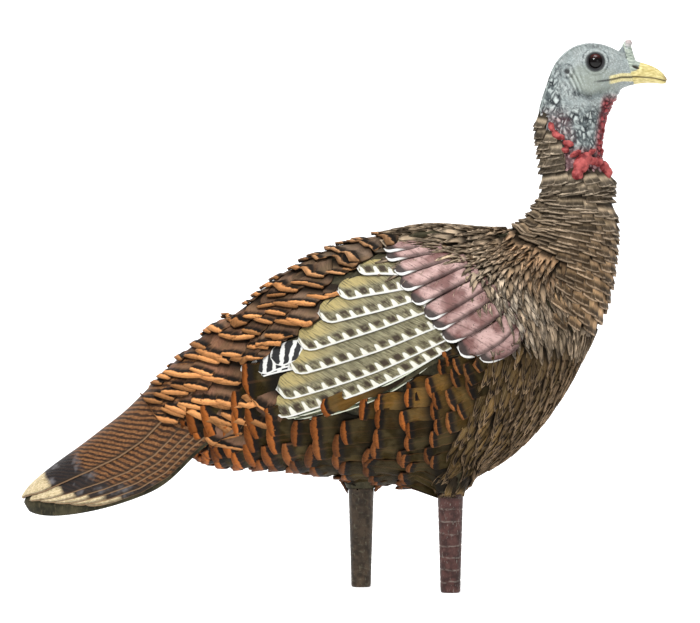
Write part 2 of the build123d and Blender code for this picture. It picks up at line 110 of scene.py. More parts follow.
def curve_point(points, t):
    """A point at t of a Catmull-Rom curve through a list of points, t counting the points."""
    last = len(points) - 1
    t = min(max(t, 0.0), last - 1e-6)
    k = int(t)
    f = t - k
    p0, p1, p2, p3 = (points[min(max(k + d, 0), last)] for d in (-1, 0, 1, 2))
    out = []
    for a, b, c, d in zip(p0, p1, p2, p3):
        out.append(0.5 * (2 * b + (c - a) * f + (2 * a - 5 * b + 4 * c - d) * f * f
                          + (3 * b - a - 3 * c + d) * f ** 3))
    return tuple(out)


def distance_to_path(path, x, z):
    """Distance in the side view from a point to a run of straight pieces."""
    best = 1e9
    for (ax, az), (bx, bz) in zip(path, path[1:]):
        dx, dz = bx - ax, bz - az
        t = min(1.0, max(0.0, ((x - ax) * dx + (z - az) * dz) / (dx * dx + dz * dz)))
        best = min(best, hypot(x - ax - dx * t, z - az - dz * t))
    return best


class Surface:
    """The outside of some of the model's nodes, for casting rays."""

    def __init__(self, *nodes):
        verts, faces, self.starts = [], [], []
        for name in nodes:
            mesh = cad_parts[name].data
            mesh.calc_loop_triangles()
            base = len(verts)
            self.starts.append((len(faces), name))
            verts.extend(v.co.copy() for v in mesh.vertices)
            faces.extend(tuple(base + i for i in t.vertices) for t in mesh.loop_triangles)
        self.tree = BVHTree.FromPolygons(verts, faces)

    def cast(self, start, toward):
        """(point, normal, node) of the first hit, or None."""
        way = (toward - start).normalized()
        place, normal, index, _ = self.tree.ray_cast(start, way)
        if place is None:
            return None
        if normal.dot(way) > 0:
            normal = -normal
        name = [n for first, n in self.starts if index >= first][-1]
        return place, normal, name

    def from_side(self, side, x, z):
        """The hit of a level ray from one side, at a place in the side view in millimetres."""
        return self.cast(Vector((x * MM, side * 0.4, z * MM)), Vector((x * MM, 0.0, z * MM)))


def ring_hits(surface, guides, s, count=DIRECTIONS, reach=0.15):
    """Hits all round one ring of the form, starting at its back, going round by its left."""
    (bx, bz), (fx, fz) = (curve_point([g[k] for g in guides], s) for k in (0, 1))
    middle = Vector(((bx + fx) / 2, 0, (bz + fz) / 2)) * MM
    up = Vector((bx - fx, 0, bz - fz)).normalized()
    hits = []
    for k in range(count):
        angle = 2 * pi * k / count
        way = up * cos(angle) + Vector((0, 1, 0)) * sin(angle)
        hits.append(surface.cast(middle + way * reach, middle))
    return hits


def new_mesh(name, verts, faces, attributes=None, shade=True):
    """A mesh object with float or colour attributes on its vertices."""
    mesh = bpy.data.meshes.new(name)
    mesh.from_pydata([tuple(v) for v in verts], [], faces)
    for key, values in (attributes or {}).items():
        first = values[0]
        if isinstance(first, (tuple, list, Vector)):
            attr = mesh.attributes.new(key, "FLOAT_VECTOR", "POINT")
            attr.data.foreach_set("vector", [c for v in values for c in v])
        else:
            attr = mesh.attributes.new(key, "FLOAT", "POINT")
            attr.data.foreach_set("value", values)
    if shade:
        mesh.shade_smooth()
    mesh.update()
    piece = bpy.data.objects.new(name, mesh)
    bpy.context.scene.collection.objects.link(piece)
    return piece


def outward(piece):
    """Makes a closed mesh's faces point outwards."""
    mesh = bmesh.new()
    mesh.from_mesh(piece.data)
    bmesh.ops.recalc_face_normals(mesh, faces=mesh.faces)
    mesh.to_mesh(piece.data)
    mesh.free()


def discard(*objects):
    """Removes helper objects and their meshes."""
    for helper in objects:
        mesh = helper.data
        bpy.data.objects.remove(helper)
        bpy.data.meshes.remove(mesh)


def settle(piece, body, slot, material=None):
    """Gives a finished piece its material and body; its slot is not used."""
    if material:
        piece.data.materials.clear()
        piece.data.materials.append(material)
    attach(piece, body)
    return piece


def set_node_material(node, material):
    """Gives a node of the model a material in every slot."""
    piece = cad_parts[node]
    if not piece.material_slots:
        piece.data.materials.append(material)
    for place in piece.material_slots:
        place.material = material


# ---- Materials ----
class Paint:
    """Builds one procedural material, socket by socket."""

    def __init__(self, name):
        self.material = bpy.data.materials.new(name)
        self.material.use_nodes = True
        self.tree = self.material.node_tree
        self.shader = self.tree.nodes["Principled BSDF"]

    def put(self, node, key, value):
        socket = node.inputs[key]
        if isinstance(value, bpy.types.NodeSocket):
            self.tree.links.new(value, socket)
        elif isinstance(value, tuple) and len(value) == 3 and socket.type == "RGBA":
            socket.default_value = (*value, 1.0)
        else:
            socket.default_value = value

    def math(self, operation, a, b=0.0, c=None, clamp=False):
        node = self.tree.nodes.new("ShaderNodeMath")
        node.operation = operation
        node.use_clamp = clamp
        self.put(node, 0, a)
        self.put(node, 1, b)
        if c is not None:
            self.put(node, 2, c)
        return node.outputs[0]

    def times(self, a, b):
        return self.math("MULTIPLY", a, b)

    def plus(self, a, b):
        return self.math("ADD", a, b)

    def minus(self, a, b):
        return self.math("SUBTRACT", a, b)

    def most(self, a, b):
        return self.math("MAXIMUM", a, b)

    def mix(self, factor, a, b, blend="MIX"):
        node = self.tree.nodes.new("ShaderNodeMix")
        node.data_type = "RGBA"
        node.blend_type = blend
        self.put(node, 0, factor)
        self.put(node, 6, a)
        self.put(node, 7, b)
        return node.outputs[2]

    def attribute(self, name, vector=False):
        node = self.tree.nodes.new("ShaderNodeAttribute")
        node.attribute_name = name
        return node.outputs["Vector" if vector else "Fac"]

    def place(self, scale=(1.0, 1.0, 1.0)):
        node = self.tree.nodes.new("ShaderNodeTexCoord")
        mapping = self.tree.nodes.new("ShaderNodeMapping")
        mapping.inputs["Scale"].default_value = scale
        self.tree.links.new(node.outputs["Object"], mapping.inputs["Vector"])
        return mapping.outputs[0]

    def noise(self, scale, detail=3.0, at=None, roughness=0.55):
        node = self.tree.nodes.new("ShaderNodeTexNoise")
        self.put(node, "Vector", at or self.place())
        self.put(node, "Scale", scale)
        self.put(node, "Detail", detail)
        self.put(node, "Roughness", roughness)
        return node.outputs["Fac"]

    def cells(self, scale, at, wander):
        """Distance from the nearest border between uneven cells, 0 on the border."""
        swirl = self.tree.nodes.new("ShaderNodeTexNoise")
        self.put(swirl, "Vector", at)
        self.put(swirl, "Scale", scale * 0.45)
        self.put(swirl, "Detail", 2.0)
        push = self.tree.nodes.new("ShaderNodeVectorMath")
        push.operation = "MULTIPLY_ADD"
        self.tree.links.new(swirl.outputs["Color"], push.inputs[0])
        push.inputs[1].default_value = (wander, wander, wander)
        self.tree.links.new(at, push.inputs[2])
        node = self.tree.nodes.new("ShaderNodeTexVoronoi")
        node.feature = "DISTANCE_TO_EDGE"
        self.tree.links.new(push.outputs[0], node.inputs["Vector"])
        self.put(node, "Scale", scale)
        return node.outputs["Distance"]

    def vector(self, x, y, z=0.0):
        node = self.tree.nodes.new("ShaderNodeCombineXYZ")
        for key, value in enumerate((x, y, z)):
            self.put(node, key, value)
        return node.outputs[0]

    def step(self, value, low, high):
        """A smooth rise of a value from low to high."""
        node = self.tree.nodes.new("ShaderNodeMapRange")
        node.interpolation_type = "SMOOTHSTEP"
        self.put(node, "Value", value)
        self.put(node, "From Min", low)
        self.put(node, "From Max", high)
        return node.outputs[0]

    def relief(self, height, strength=0.5, distance=0.0008):
        node = self.tree.nodes.new("ShaderNodeBump")
        self.put(node, "Strength", strength)
        self.put(node, "Distance", distance)
        self.put(node, "Height", height)
        self.tree.links.new(node.outputs[0], self.shader.inputs["Normal"])

    def finish(self, colour, roughness, **sockets):
        self.put(self.shader, "Base Color", colour)
        self.put(self.shader, "Roughness", roughness)
        for key, value in sockets.items():
            self.put(self.shader, key.replace("_", " "), value)
        return self.material


def coat_material():
    """Painted body feathers: every feather's own colours come from its attributes."""
    p = Paint("coat_paint")
    along, across = p.attribute("along"), p.attribute("across")
    length, tone = p.attribute("feather_length"), p.attribute("tone")
    face, tip = p.attribute("face", True), p.attribute("tip", True)
    rim = p.attribute("rim", True)
    bar = p.attribute("bar")
    side = p.math("ABSOLUTE", across)
    from_tip = p.times(p.minus(1.0, along), p.times(length, 1000.0))
    wander = p.times(p.minus(p.noise(260.0, 2.0), 0.5), 3.4)
    edge = p.plus(from_tip, wander)
    barb_line = p.minus(along, p.times(side, 0.35))
    barb_at = p.vector(p.times(barb_line, 2.2), p.times(across, 0.35), p.times(tone, 9.0))
    barbs = p.noise(9.0, 4.0, barb_at, 0.7)
    streak_at = p.vector(p.times(across, 3.0), p.times(along, 0.7), p.times(tone, 7.0))
    streaks = p.noise(3.4, 3.0, streak_at, 0.7)
    shade = p.plus(-0.10, p.times(p.plus(barbs, streaks), 1.10))
    colour = p.mix(1.0, face, p.vector(shade, shade, shade), "MULTIPLY")
    warm = p.step(p.noise(55.0, 2.0), 0.42, 0.62)
    colour = p.mix(p.times(warm, 0.35), colour, (0.10, 0.075, 0.035))
    # a black band behind the tip bar, the bar itself with a painted highlight, and a thin light rim that is partly
    # the feathers' pale margins and partly a painted highlight on their raised edges
    bar = p.times(bar, p.minus(1.0, p.times(p.times(side, side), 0.35)))
    behind = p.times(p.step(edge, p.plus(bar, 7.5), p.plus(bar, 2.0)), p.attribute("band"))
    colour = p.mix(behind, colour, (0.012, 0.009, 0.007))
    inside = p.step(edge, bar, p.minus(bar, 1.4))
    # painted highlight: the bar is darker at its tip edge and lighter towards its inner edge
    lit = p.times(p.step(from_tip, 0.5, bar), 0.75)
    tip_shade = p.plus(-0.02, p.plus(lit, p.times(barbs, 1.25)))
    colour = p.mix(inside, colour, p.mix(1.0, tip, p.vector(tip_shade, tip_shade, tip_shade), "MULTIPLY"))
    # the light rim in patches on the tip and sides: pale margins and a painted highlight on the raised edges
    patchy_mask = p.most(p.step(from_tip, 1.3, 0.5), p.step(side, 0.86, 0.97))
    patchy_mask = p.times(patchy_mask, p.times(p.attribute("wear"), p.step(p.noise(150.0, 2.0), 0.30, 0.55)))
    colour = p.mix(patchy_mask, colour, rim)
    shaft = p.times(p.step(side, 0.10, 0.03), p.times(p.attribute("wear"), 0.55))
    colour = p.mix(shaft, colour, rim)
    # painted shade: near-black undersides and roots, where the next row lies over them
    root = p.times(p.step(along, 0.62, 0.30), 0.92)
    colour = p.mix(root, colour, (0.010, 0.008, 0.006))
    under = p.attribute("under")
    colour = p.mix(under, colour, (0.008, 0.006, 0.005))
    bright = p.plus(0.48, p.times(tone, 0.80))
    colour = p.mix(1.0, colour, p.vector(bright, bright, bright), "MULTIPLY")
    p.relief(p.plus(p.times(barbs, 0.8), p.times(streaks, 0.6)), 0.65, 0.0012)
    return p.finish(colour, p.plus(0.48, p.times(barbs, 0.25)), Specular_IOR_Level=0.05)


def olive_wing_material():
    """Secondary feathers: olive buff with brown blotches, white notches and a white rim."""
    p = Paint("secondary_paint")
    across, from_tip, tone = p.attribute("across"), p.attribute("from_tip"), p.attribute("tone")
    low = p.attribute("lower_mm")
    wander = p.times(p.minus(p.noise(190.0, 3.0), 0.5), 2.2)
    barb_at = p.vector(p.plus(from_tip, p.times(low, 0.9)), p.times(low, 0.12), tone)
    barbs = p.noise(0.75, 4.0, barb_at, 0.75)
    base = p.mix(p.step(barbs, 0.30, 0.72), (0.050, 0.042, 0.022), (0.31, 0.285, 0.175))
    gold = p.times(p.step(low, 9.0, 14.0), p.step(from_tip, 60.0, 12.0))
    base = p.mix(p.times(gold, p.step(barbs, 0.30, 0.6)), base, (0.40, 0.32, 0.13))
    # blotches hang from the notched rim in a regular row
    cycle = p.math("PINGPONG", p.plus(p.plus(from_tip, p.times(low, 0.45)),
                                      p.times(wander, 0.9)), 7.0)
    blotch = p.times(p.step(cycle, 4.4, 2.6), p.times(p.step(low, 11.5, 7.5), p.step(low, 2.0, 3.5)))
    base = p.mix(p.times(blotch, p.step(p.noise(120.0, 2.0), 0.30, 0.55)), base, (0.040, 0.028, 0.018))
    reach = p.plus(2.2, p.times(p.step(cycle, 3.8, 6.2), p.plus(2.5, p.times(p.noise(70.0, 2.0), 8.0))))
    notch = p.step(p.plus(low, wander), reach, p.minus(reach, 1.8))
    base = p.mix(p.times(notch, p.step(barbs, 0.10, 0.45)), base, (0.62, 0.61, 0.54))
    edge = p.most(p.step(low, 1.7, 1.0), p.step(from_tip, 2.4, 1.5))
    base = p.mix(edge, base, (0.70, 0.70, 0.66))
    # painted shade: the feather's underside is painted near-black
    black = p.attribute("under")
    base = p.mix(black, base, (0.010, 0.009, 0.008))
    p.relief(barbs, 0.7, 0.0011)
    return p.finish(base, 0.52, Specular_IOR_Level=0.12)


def covert_material():
    """Wing coverts: dusty mauve-brown with a sooty end and a white tip line."""
    p = Paint("covert_paint")
    from_tip, tone = p.attribute("from_tip"), p.attribute("tone")
    low, across = p.attribute("lower_mm"), p.attribute("across")
    barb_at = p.vector(p.plus(from_tip, p.times(low, 0.7)), p.times(low, 0.15), tone)
    barbs = p.noise(0.65, 4.0, barb_at, 0.7)
    cloud = p.noise(45.0, 3.0)
    mauve = p.mix(p.step(cloud, 0.36, 0.66), (0.16, 0.078, 0.070), (0.47, 0.315, 0.29))
    mauve = p.mix(p.times(p.step(barbs, 0.50, 0.32), 0.65), mauve, (0.055, 0.030, 0.026))
    shadow = p.times(p.step(low, 5.0, 1.0), 0.75)
    mauve = p.mix(shadow, mauve, (0.035, 0.022, 0.020))
    specks = p.times(p.step(p.noise(520.0, 1.0), 0.66, 0.72), 0.7)
    mauve = p.mix(specks, mauve, (0.05, 0.03, 0.028))
    wander = p.times(p.minus(p.noise(170.0, 2.0), 0.5), 4.0)
    soot = p.step(p.plus(p.plus(from_tip, p.times(low, 0.55)), wander), 17.0, 11.0)
    mauve = p.mix(p.times(soot, 0.92), mauve, (0.030, 0.026, 0.024))
    reach = p.step(from_tip, 24.0, 10.0)
    white = p.times(p.step(low, p.times(reach, 2.6), p.times(reach, 1.6)), reach)
    white = p.most(white, p.times(p.step(from_tip, 2.0, 1.2), p.step(across, 0.5, -0.2)))
    mauve = p.mix(white, mauve, (0.72, 0.72, 0.69))
    # painted shade: the feather's underside is painted near-black
    black = p.attribute("under")
    mauve = p.mix(black, mauve, (0.010, 0.008, 0.007))
    p.relief(barbs, 0.55, 0.0010)
    return p.finish(mauve, 0.52, Specular_IOR_Level=0.12)


def primary_material():
    """Primary feathers: black with ragged white bars and a white rim."""
    p = Paint("primary_paint")
    from_tip, low, tone = p.attribute("from_tip"), p.attribute("lower_mm"), p.attribute("tone")
    wander = p.times(p.minus(p.noise(170.0, 2.0), 0.5), 5.0)
    line = p.plus(p.plus(from_tip, wander), p.times(low, -0.6))
    bars = p.step(p.math("PINGPONG", line, 5.5), 2.9, 3.7)
    base = p.mix(bars, (0.012, 0.012, 0.013), (0.66, 0.66, 0.63))
    fine = p.noise(300.0, 2.0, p.place((1.0, 1.0, 3.0)))
    base = p.mix(p.times(fine, 0.25), base, (0.09, 0.09, 0.09))
    rim = p.most(p.most(p.step(low, 1.7, 1.1), p.step(from_tip, 2.2, 1.4)),
                 p.step(p.attribute("across"), 0.90, 0.96))
    base = p.mix(rim, base, (0.70, 0.70, 0.67))
    # painted shade: the feather's underside is painted near-black
    black = p.attribute("under")
    base = p.mix(black, base, (0.010, 0.009, 0.008))
    p.relief(fine, 0.4, 0.0008)
    return p.finish(base, 0.50, Specular_IOR_Level=0.12)


def stack_material():
    """Thin lower edges of the folded wing: dark green-black with a pale rim."""
    p = Paint("folded_edge_paint")
    low, from_tip = p.attribute("lower_mm"), p.attribute("from_tip")
    base = p.mix(p.step(p.noise(120.0, 3.0), 0.35, 0.65), (0.022, 0.030, 0.018), (0.12, 0.13, 0.075))
    rim = p.most(p.step(low, 1.5, 0.9), p.step(from_tip, 2.0, 1.2))
    base = p.mix(rim, base, (0.62, 0.64, 0.52))
    # painted shade: the feather's underside is painted near-black
    black = p.attribute("under")
    base = p.mix(black, base, (0.012, 0.013, 0.009))
    return p.finish(base, 0.5, Specular_IOR_Level=0.12)


def tail_material():
    """Tail feathers: rufous with wavy black bars, a black band and a buff tip."""
    p = Paint("tail_paint")
    from_tip, low, tone = p.attribute("from_tip"), p.attribute("lower_mm"), p.attribute("tone")
    wander = p.times(p.minus(p.noise(95.0, 3.0), 0.5), 9.0)
    grain_at = p.vector(p.times(from_tip, 0.5), p.times(low, 1.6), tone)
    grain = p.noise(0.8, 4.0, grain_at, 0.7)
    line = p.minus(p.plus(from_tip, p.times(wander, 0.7)), p.attribute("sweep"))
    bars = p.step(p.math("PINGPONG", line, 3.3), 1.3, 2.1)
    rufous = p.mix(p.step(grain, 0.30, 0.70), (0.085, 0.034, 0.014), (0.27, 0.125, 0.050))
    dark = p.mix(p.step(grain, 0.35, 0.70), (0.012, 0.008, 0.006), (0.045, 0.026, 0.017))
    base = p.mix(p.times(bars, 0.9), rufous, dark)
    soft = p.plus(from_tip, p.times(wander, 0.9))
    band = p.times(p.step(soft, 76.0, 62.0), p.step(soft, 30.0, 36.0))
    base = p.mix(p.times(band, 0.93), base, (0.016, 0.015, 0.016))
    sheen = p.times(band, p.step(p.noise(70.0, 2.0), 0.50, 0.72))
    base = p.mix(p.times(sheen, 0.5), base, (0.24, 0.23, 0.24))
    buff = p.mix(p.step(grain, 0.30, 0.66), (0.32, 0.23, 0.10), (0.76, 0.64, 0.42))
    base = p.mix(p.step(soft, 36.0, 30.0), base, buff)
    groove = p.times(p.step(p.noise(240.0, 2.0, p.place((0.35, 1.0, 1.0))), 0.60, 0.70),
                     p.step(soft, 36.0, 30.0))
    base = p.mix(p.times(groove, 0.5), base, (0.12, 0.085, 0.05))
    rim = p.times(p.step(low, 1.3, 0.7), 0.6)
    # painted shade: a dark line just inside the free edge, for the gap to the next feather
    base = p.mix(p.times(p.step(low, 4.5, 1.4), 0.7), base, (0.030, 0.020, 0.013))
    base = p.mix(rim, base, (0.33, 0.20, 0.11))
    # painted shade: the feather's underside is painted near-black
    base = p.mix(p.attribute("under"), base, (0.018, 0.014, 0.009))
    p.relief(p.plus(grain, p.times(bars, -0.35)), 0.6, 0.0011)
    return p.finish(base, 0.46, Specular_IOR_Level=0.08)


def skin_material():
    """Head skin: chalky blue-grey with painted shade in its crevices and a painted highlight on its tops, with red
    and yellow parts.
    """
    p = Paint("head_skin_paint")
    relief, red, pink = p.attribute("relief"), p.attribute("red"), p.attribute("pink")
    pale, dark, horn = p.attribute("pale"), p.attribute("dark"), p.attribute("horn")
    fine = p.noise(900.0, 3.0)
    mottle = p.noise(120.0, 4.0)
    pebble = p.attribute("pebble")
    dome = p.step(p.cells(175.0, p.place((1.15, 1.0, 0.85)), 0.009), 0.0, 0.44)
    patchy_mask = p.times(pebble, p.plus(0.22, p.times(p.step(p.noise(75.0, 2.0), 0.36, 0.62), 0.48)))
    relief = p.plus(p.times(relief, p.minus(1.0, patchy_mask)), p.times(patchy_mask, dome))
    # painted shade and highlight: the relief attribute and the cell domes darken the crevices between pebbles and
    # folds and lighten their tops
    grey = p.mix(p.step(p.plus(relief, p.times(p.minus(fine, 0.5), 0.22)), 0.16, 0.66),
                 (0.022, 0.027, 0.031), (0.44, 0.485, 0.47))
    grey = p.mix(p.times(p.step(mottle, 0.40, 0.65), 0.35), grey, (0.26, 0.31, 0.31))
    grey = p.mix(p.times(pale, 0.70), grey, p.mix(fine, (0.15, 0.17, 0.14), (0.30, 0.335, 0.275)))
    # a painted highlight on the highest tops
    grey = p.mix(p.times(p.step(relief, 0.72, 0.95), 0.45), grey, (0.58, 0.64, 0.62))
    # pink and red are also darker in the crevices, as painted shade
    pink_tone = p.mix(p.step(relief, 0.25, 0.75), (0.09, 0.018, 0.024), (0.40, 0.135, 0.145))
    grey = p.mix(pink, grey, pink_tone)
    red_tone = p.mix(p.step(p.plus(relief, p.minus(mottle, 0.5)), 0.25, 0.8),
                     (0.060, 0.010, 0.014), (0.30, 0.055, 0.060))
    grey = p.mix(red, grey, red_tone)
    yellow = p.mix(p.step(fine, 0.35, 0.7), (0.48, 0.42, 0.20), (0.70, 0.63, 0.36))
    grey = p.mix(horn, grey, yellow)
    grey = p.mix(dark, grey, (0.012, 0.011, 0.012))
    rough = p.plus(p.times(fine, 0.15), p.times(p.noise(420.0, 2.0), 0.2))
    p.relief(p.plus(rough, p.times(dome, pebble)), 0.7, 0.0014)
    return p.finish(grey, p.minus(0.55, p.times(mottle, 0.15)), Specular_IOR_Level=0.15)


def plain_skin_material():
    """The head's own plastic under its skin, in the skin's middle tone."""
    p = Paint("plain_skin_paint")
    mottle = p.noise(120.0, 4.0)
    base = p.mix(p.step(mottle, 0.35, 0.65), (0.13, 0.15, 0.155), (0.28, 0.32, 0.31))
    p.relief(mottle, 0.4, 0.0006)
    return p.finish(base, 0.55, Specular_IOR_Level=0.15)


def wattle_material():
    """Wattles: satin scarlet on their crowns, deep crimson in their folds."""
    p = Paint("wattle_paint")
    heat, fine = p.attribute("heat"), p.noise(600.0, 3.0)
    blot = p.step(p.noise(130.0, 3.0), 0.35, 0.65)
    scarlet = p.mix(blot, (0.22, 0.006, 0.001), (0.66, 0.048, 0.006))
    rose = p.mix(blot, (0.13, 0.018, 0.020), (0.40, 0.090, 0.085))
    colour = p.mix(heat, rose, scarlet)
    p.relief(fine, 0.35, 0.0005)
    return p.finish(colour, 0.42, Specular_IOR_Level=0.08)


def bill_material():
    """Bill: pale horn yellow, darker at the tip, with painted shade along the mouth and in the nostril."""
    p = Paint("bill_paint")
    fine = p.noise(420.0, 3.0, p.place((0.4, 1.0, 1.6)))
    base = p.mix(p.step(fine, 0.35, 0.68), (0.42, 0.34, 0.12), (0.66, 0.58, 0.28))
    base = p.mix(p.attribute("skin"), base,
                 p.mix(p.step(fine, 0.3, 0.7), (0.16, 0.19, 0.17), (0.42, 0.47, 0.40)))
    base = p.mix(p.times(p.attribute("end"), 0.75), base, (0.17, 0.11, 0.07))
    # painted shade in the mouth line and the nostril
    base = p.mix(p.attribute("dark"), base, (0.025, 0.018, 0.012))
    p.relief(fine, 0.3, 0.0005)
    return p.finish(base, 0.38, Specular_IOR_Level=0.25)


def eye_material():
    """Eye: glossy black-brown, slightly redder above."""
    p = Paint("eye_gloss")
    node = p.tree.nodes.new("ShaderNodeSeparateXYZ")
    p.tree.links.new(p.place(), node.inputs[0])
    above = p.step(p.plus(node.outputs[2], p.times(p.noise(160.0, 2.0), 0.002)), 0.5310, 0.5370)
    base = p.mix(p.times(above, 0.6), (0.004, 0.003, 0.003), (0.10, 0.022, 0.018))
    return p.finish(base, 0.16, Specular_IOR_Level=0.22)


def leg_material(name, base, light):
    """Leg plastic with pale scute lines and scuffs."""
    p = Paint(name)
    line, cloud = p.attribute("line"), p.noise(150.0, 4.0)
    colour = p.mix(p.step(cloud, 0.34, 0.66), tuple(c * 0.55 for c in base), tuple(c * 1.35 for c in base))
    scratch = p.step(p.noise(520.0, 3.0, p.place((1.0, 1.0, 0.35))), 0.60, 0.72)
    colour = p.mix(p.times(scratch, 0.45), colour, light)
    patchy_mask = p.times(p.step(p.noise(230.0, 2.0), 0.34, 0.62), 0.45)
    colour = p.mix(p.times(line, patchy_mask), colour, light)
    p.relief(p.plus(cloud, scratch), 0.5, 0.0007)
    return p.finish(colour, p.plus(0.38, p.times(cloud, 0.2)), Specular_IOR_Level=0.2)


def ground_material():
    """The painted dark ground of the body, wings and tail under their feathers."""
    p = Paint("dark_ground_paint")
    cloud, grain = p.noise(60.0, 4.0), p.noise(420.0, 3.0, p.place((1.0, 1.0, 0.4)))
    base = p.mix(p.step(cloud, 0.35, 0.65), (0.016, 0.015, 0.008), (0.052, 0.045, 0.024))
    base = p.mix(p.times(p.step(grain, 0.52, 0.70), 0.5), base, (0.095, 0.075, 0.042))
    p.relief(grain, 0.6, 0.0010)
    return p.finish(base, 0.6, Specular_IOR_Level=0.12)


def nylon_material():
    """Plain black moulded nylon."""
    p = Paint("black_nylon")
    grain = p.noise(900.0, 3.0)
    base = p.mix(grain, (0.018, 0.018, 0.019), (0.050, 0.050, 0.052))
    p.relief(grain, 0.25, 0.0004)
    return p.finish(base, 0.45)


def steel_material():
    """Zinc-plated steel with fine turned lines."""
    p = Paint("plated_steel")
    lines = p.noise(700.0, 3.0, p.place((0.2, 0.2, 2.5)))
    base = p.mix(lines, (0.42, 0.42, 0.43), (0.66, 0.66, 0.67))
    return p.finish(base, p.plus(0.25, p.times(lines, 0.18)), Metallic=1.0)


def rubber_material():
    """Matt black rubber."""
    p = Paint("ring_rubber_finish")
    grain = p.noise(1200.0, 2.0)
    base = p.mix(grain, (0.012, 0.012, 0.012), (0.030, 0.030, 0.030))
    p.relief(grain, 0.3, 0.0003)
    return p.finish(base, 0.75)


# ---- The feather rows ----
def shell_faces(base, rows, columns):
    """Faces of a thin closed sheet: a grid of upper points, then the lower ones, joined round the rim."""
    stride, below = columns + 1, (columns + 1) * (rows + 1)
    faces = []
    for j in range(rows):
        for i in range(columns):
            a = base + j * stride + i
            b = a + below
            faces.append((a, a + 1, a + 1 + stride, a + stride))
            faces.append((b, b + stride, b + 1 + stride, b + 1))
    rim = list(range(stride))
    rim += [j * stride + columns for j in range(1, rows + 1)]
    rim += [rows * stride + i for i in range(columns - 1, -1, -1)]
    rim += [j * stride for j in range(rows - 1, 0, -1)]
    for a, b in zip(rim, rim[1:] + rim[:1]):
        faces.append((base + b, base + a, base + below + a, base + below + b))
    return faces


def feather_template(name, columns=6, rows=7, round_tip=0.30, root=0.62, thick=0.42, bar=0.0, pinch=0.0):
    """One closed feather of unit size lying flat; its lift above the form is an attribute."""
    verts, along, across, lift, under = [], [], [], [], []
    for top in (True, False):
        for j in range(rows + 1):
            v = (j / rows) ** 0.85
            half = 0.5 * (root + (1 - root) * smooth(0.0, 0.6, v)) * (1 - pinch * smooth(0.45, 1.0, v))
            for i in range(columns + 1):
                u = 2 * i / columns - 1
                verts.append((u * half, v * (1 - round_tip * u * u * v * v), 0.0))
                along.append(v)
                across.append(u)
                crown = (0.10 + 0.90 * v ** 1.5) * (1 - 0.16 * u * u) + bar * smooth(0.74, 0.80, v)
                lift.append(crown if top else crown - (0.10 + thick * v))
                under.append(0.0 if top else 1.0)
    values = {"along": along, "across": across, "lift": lift, "under": under}
    return new_mesh(name, verts, shell_faces(0, rows, columns), values)


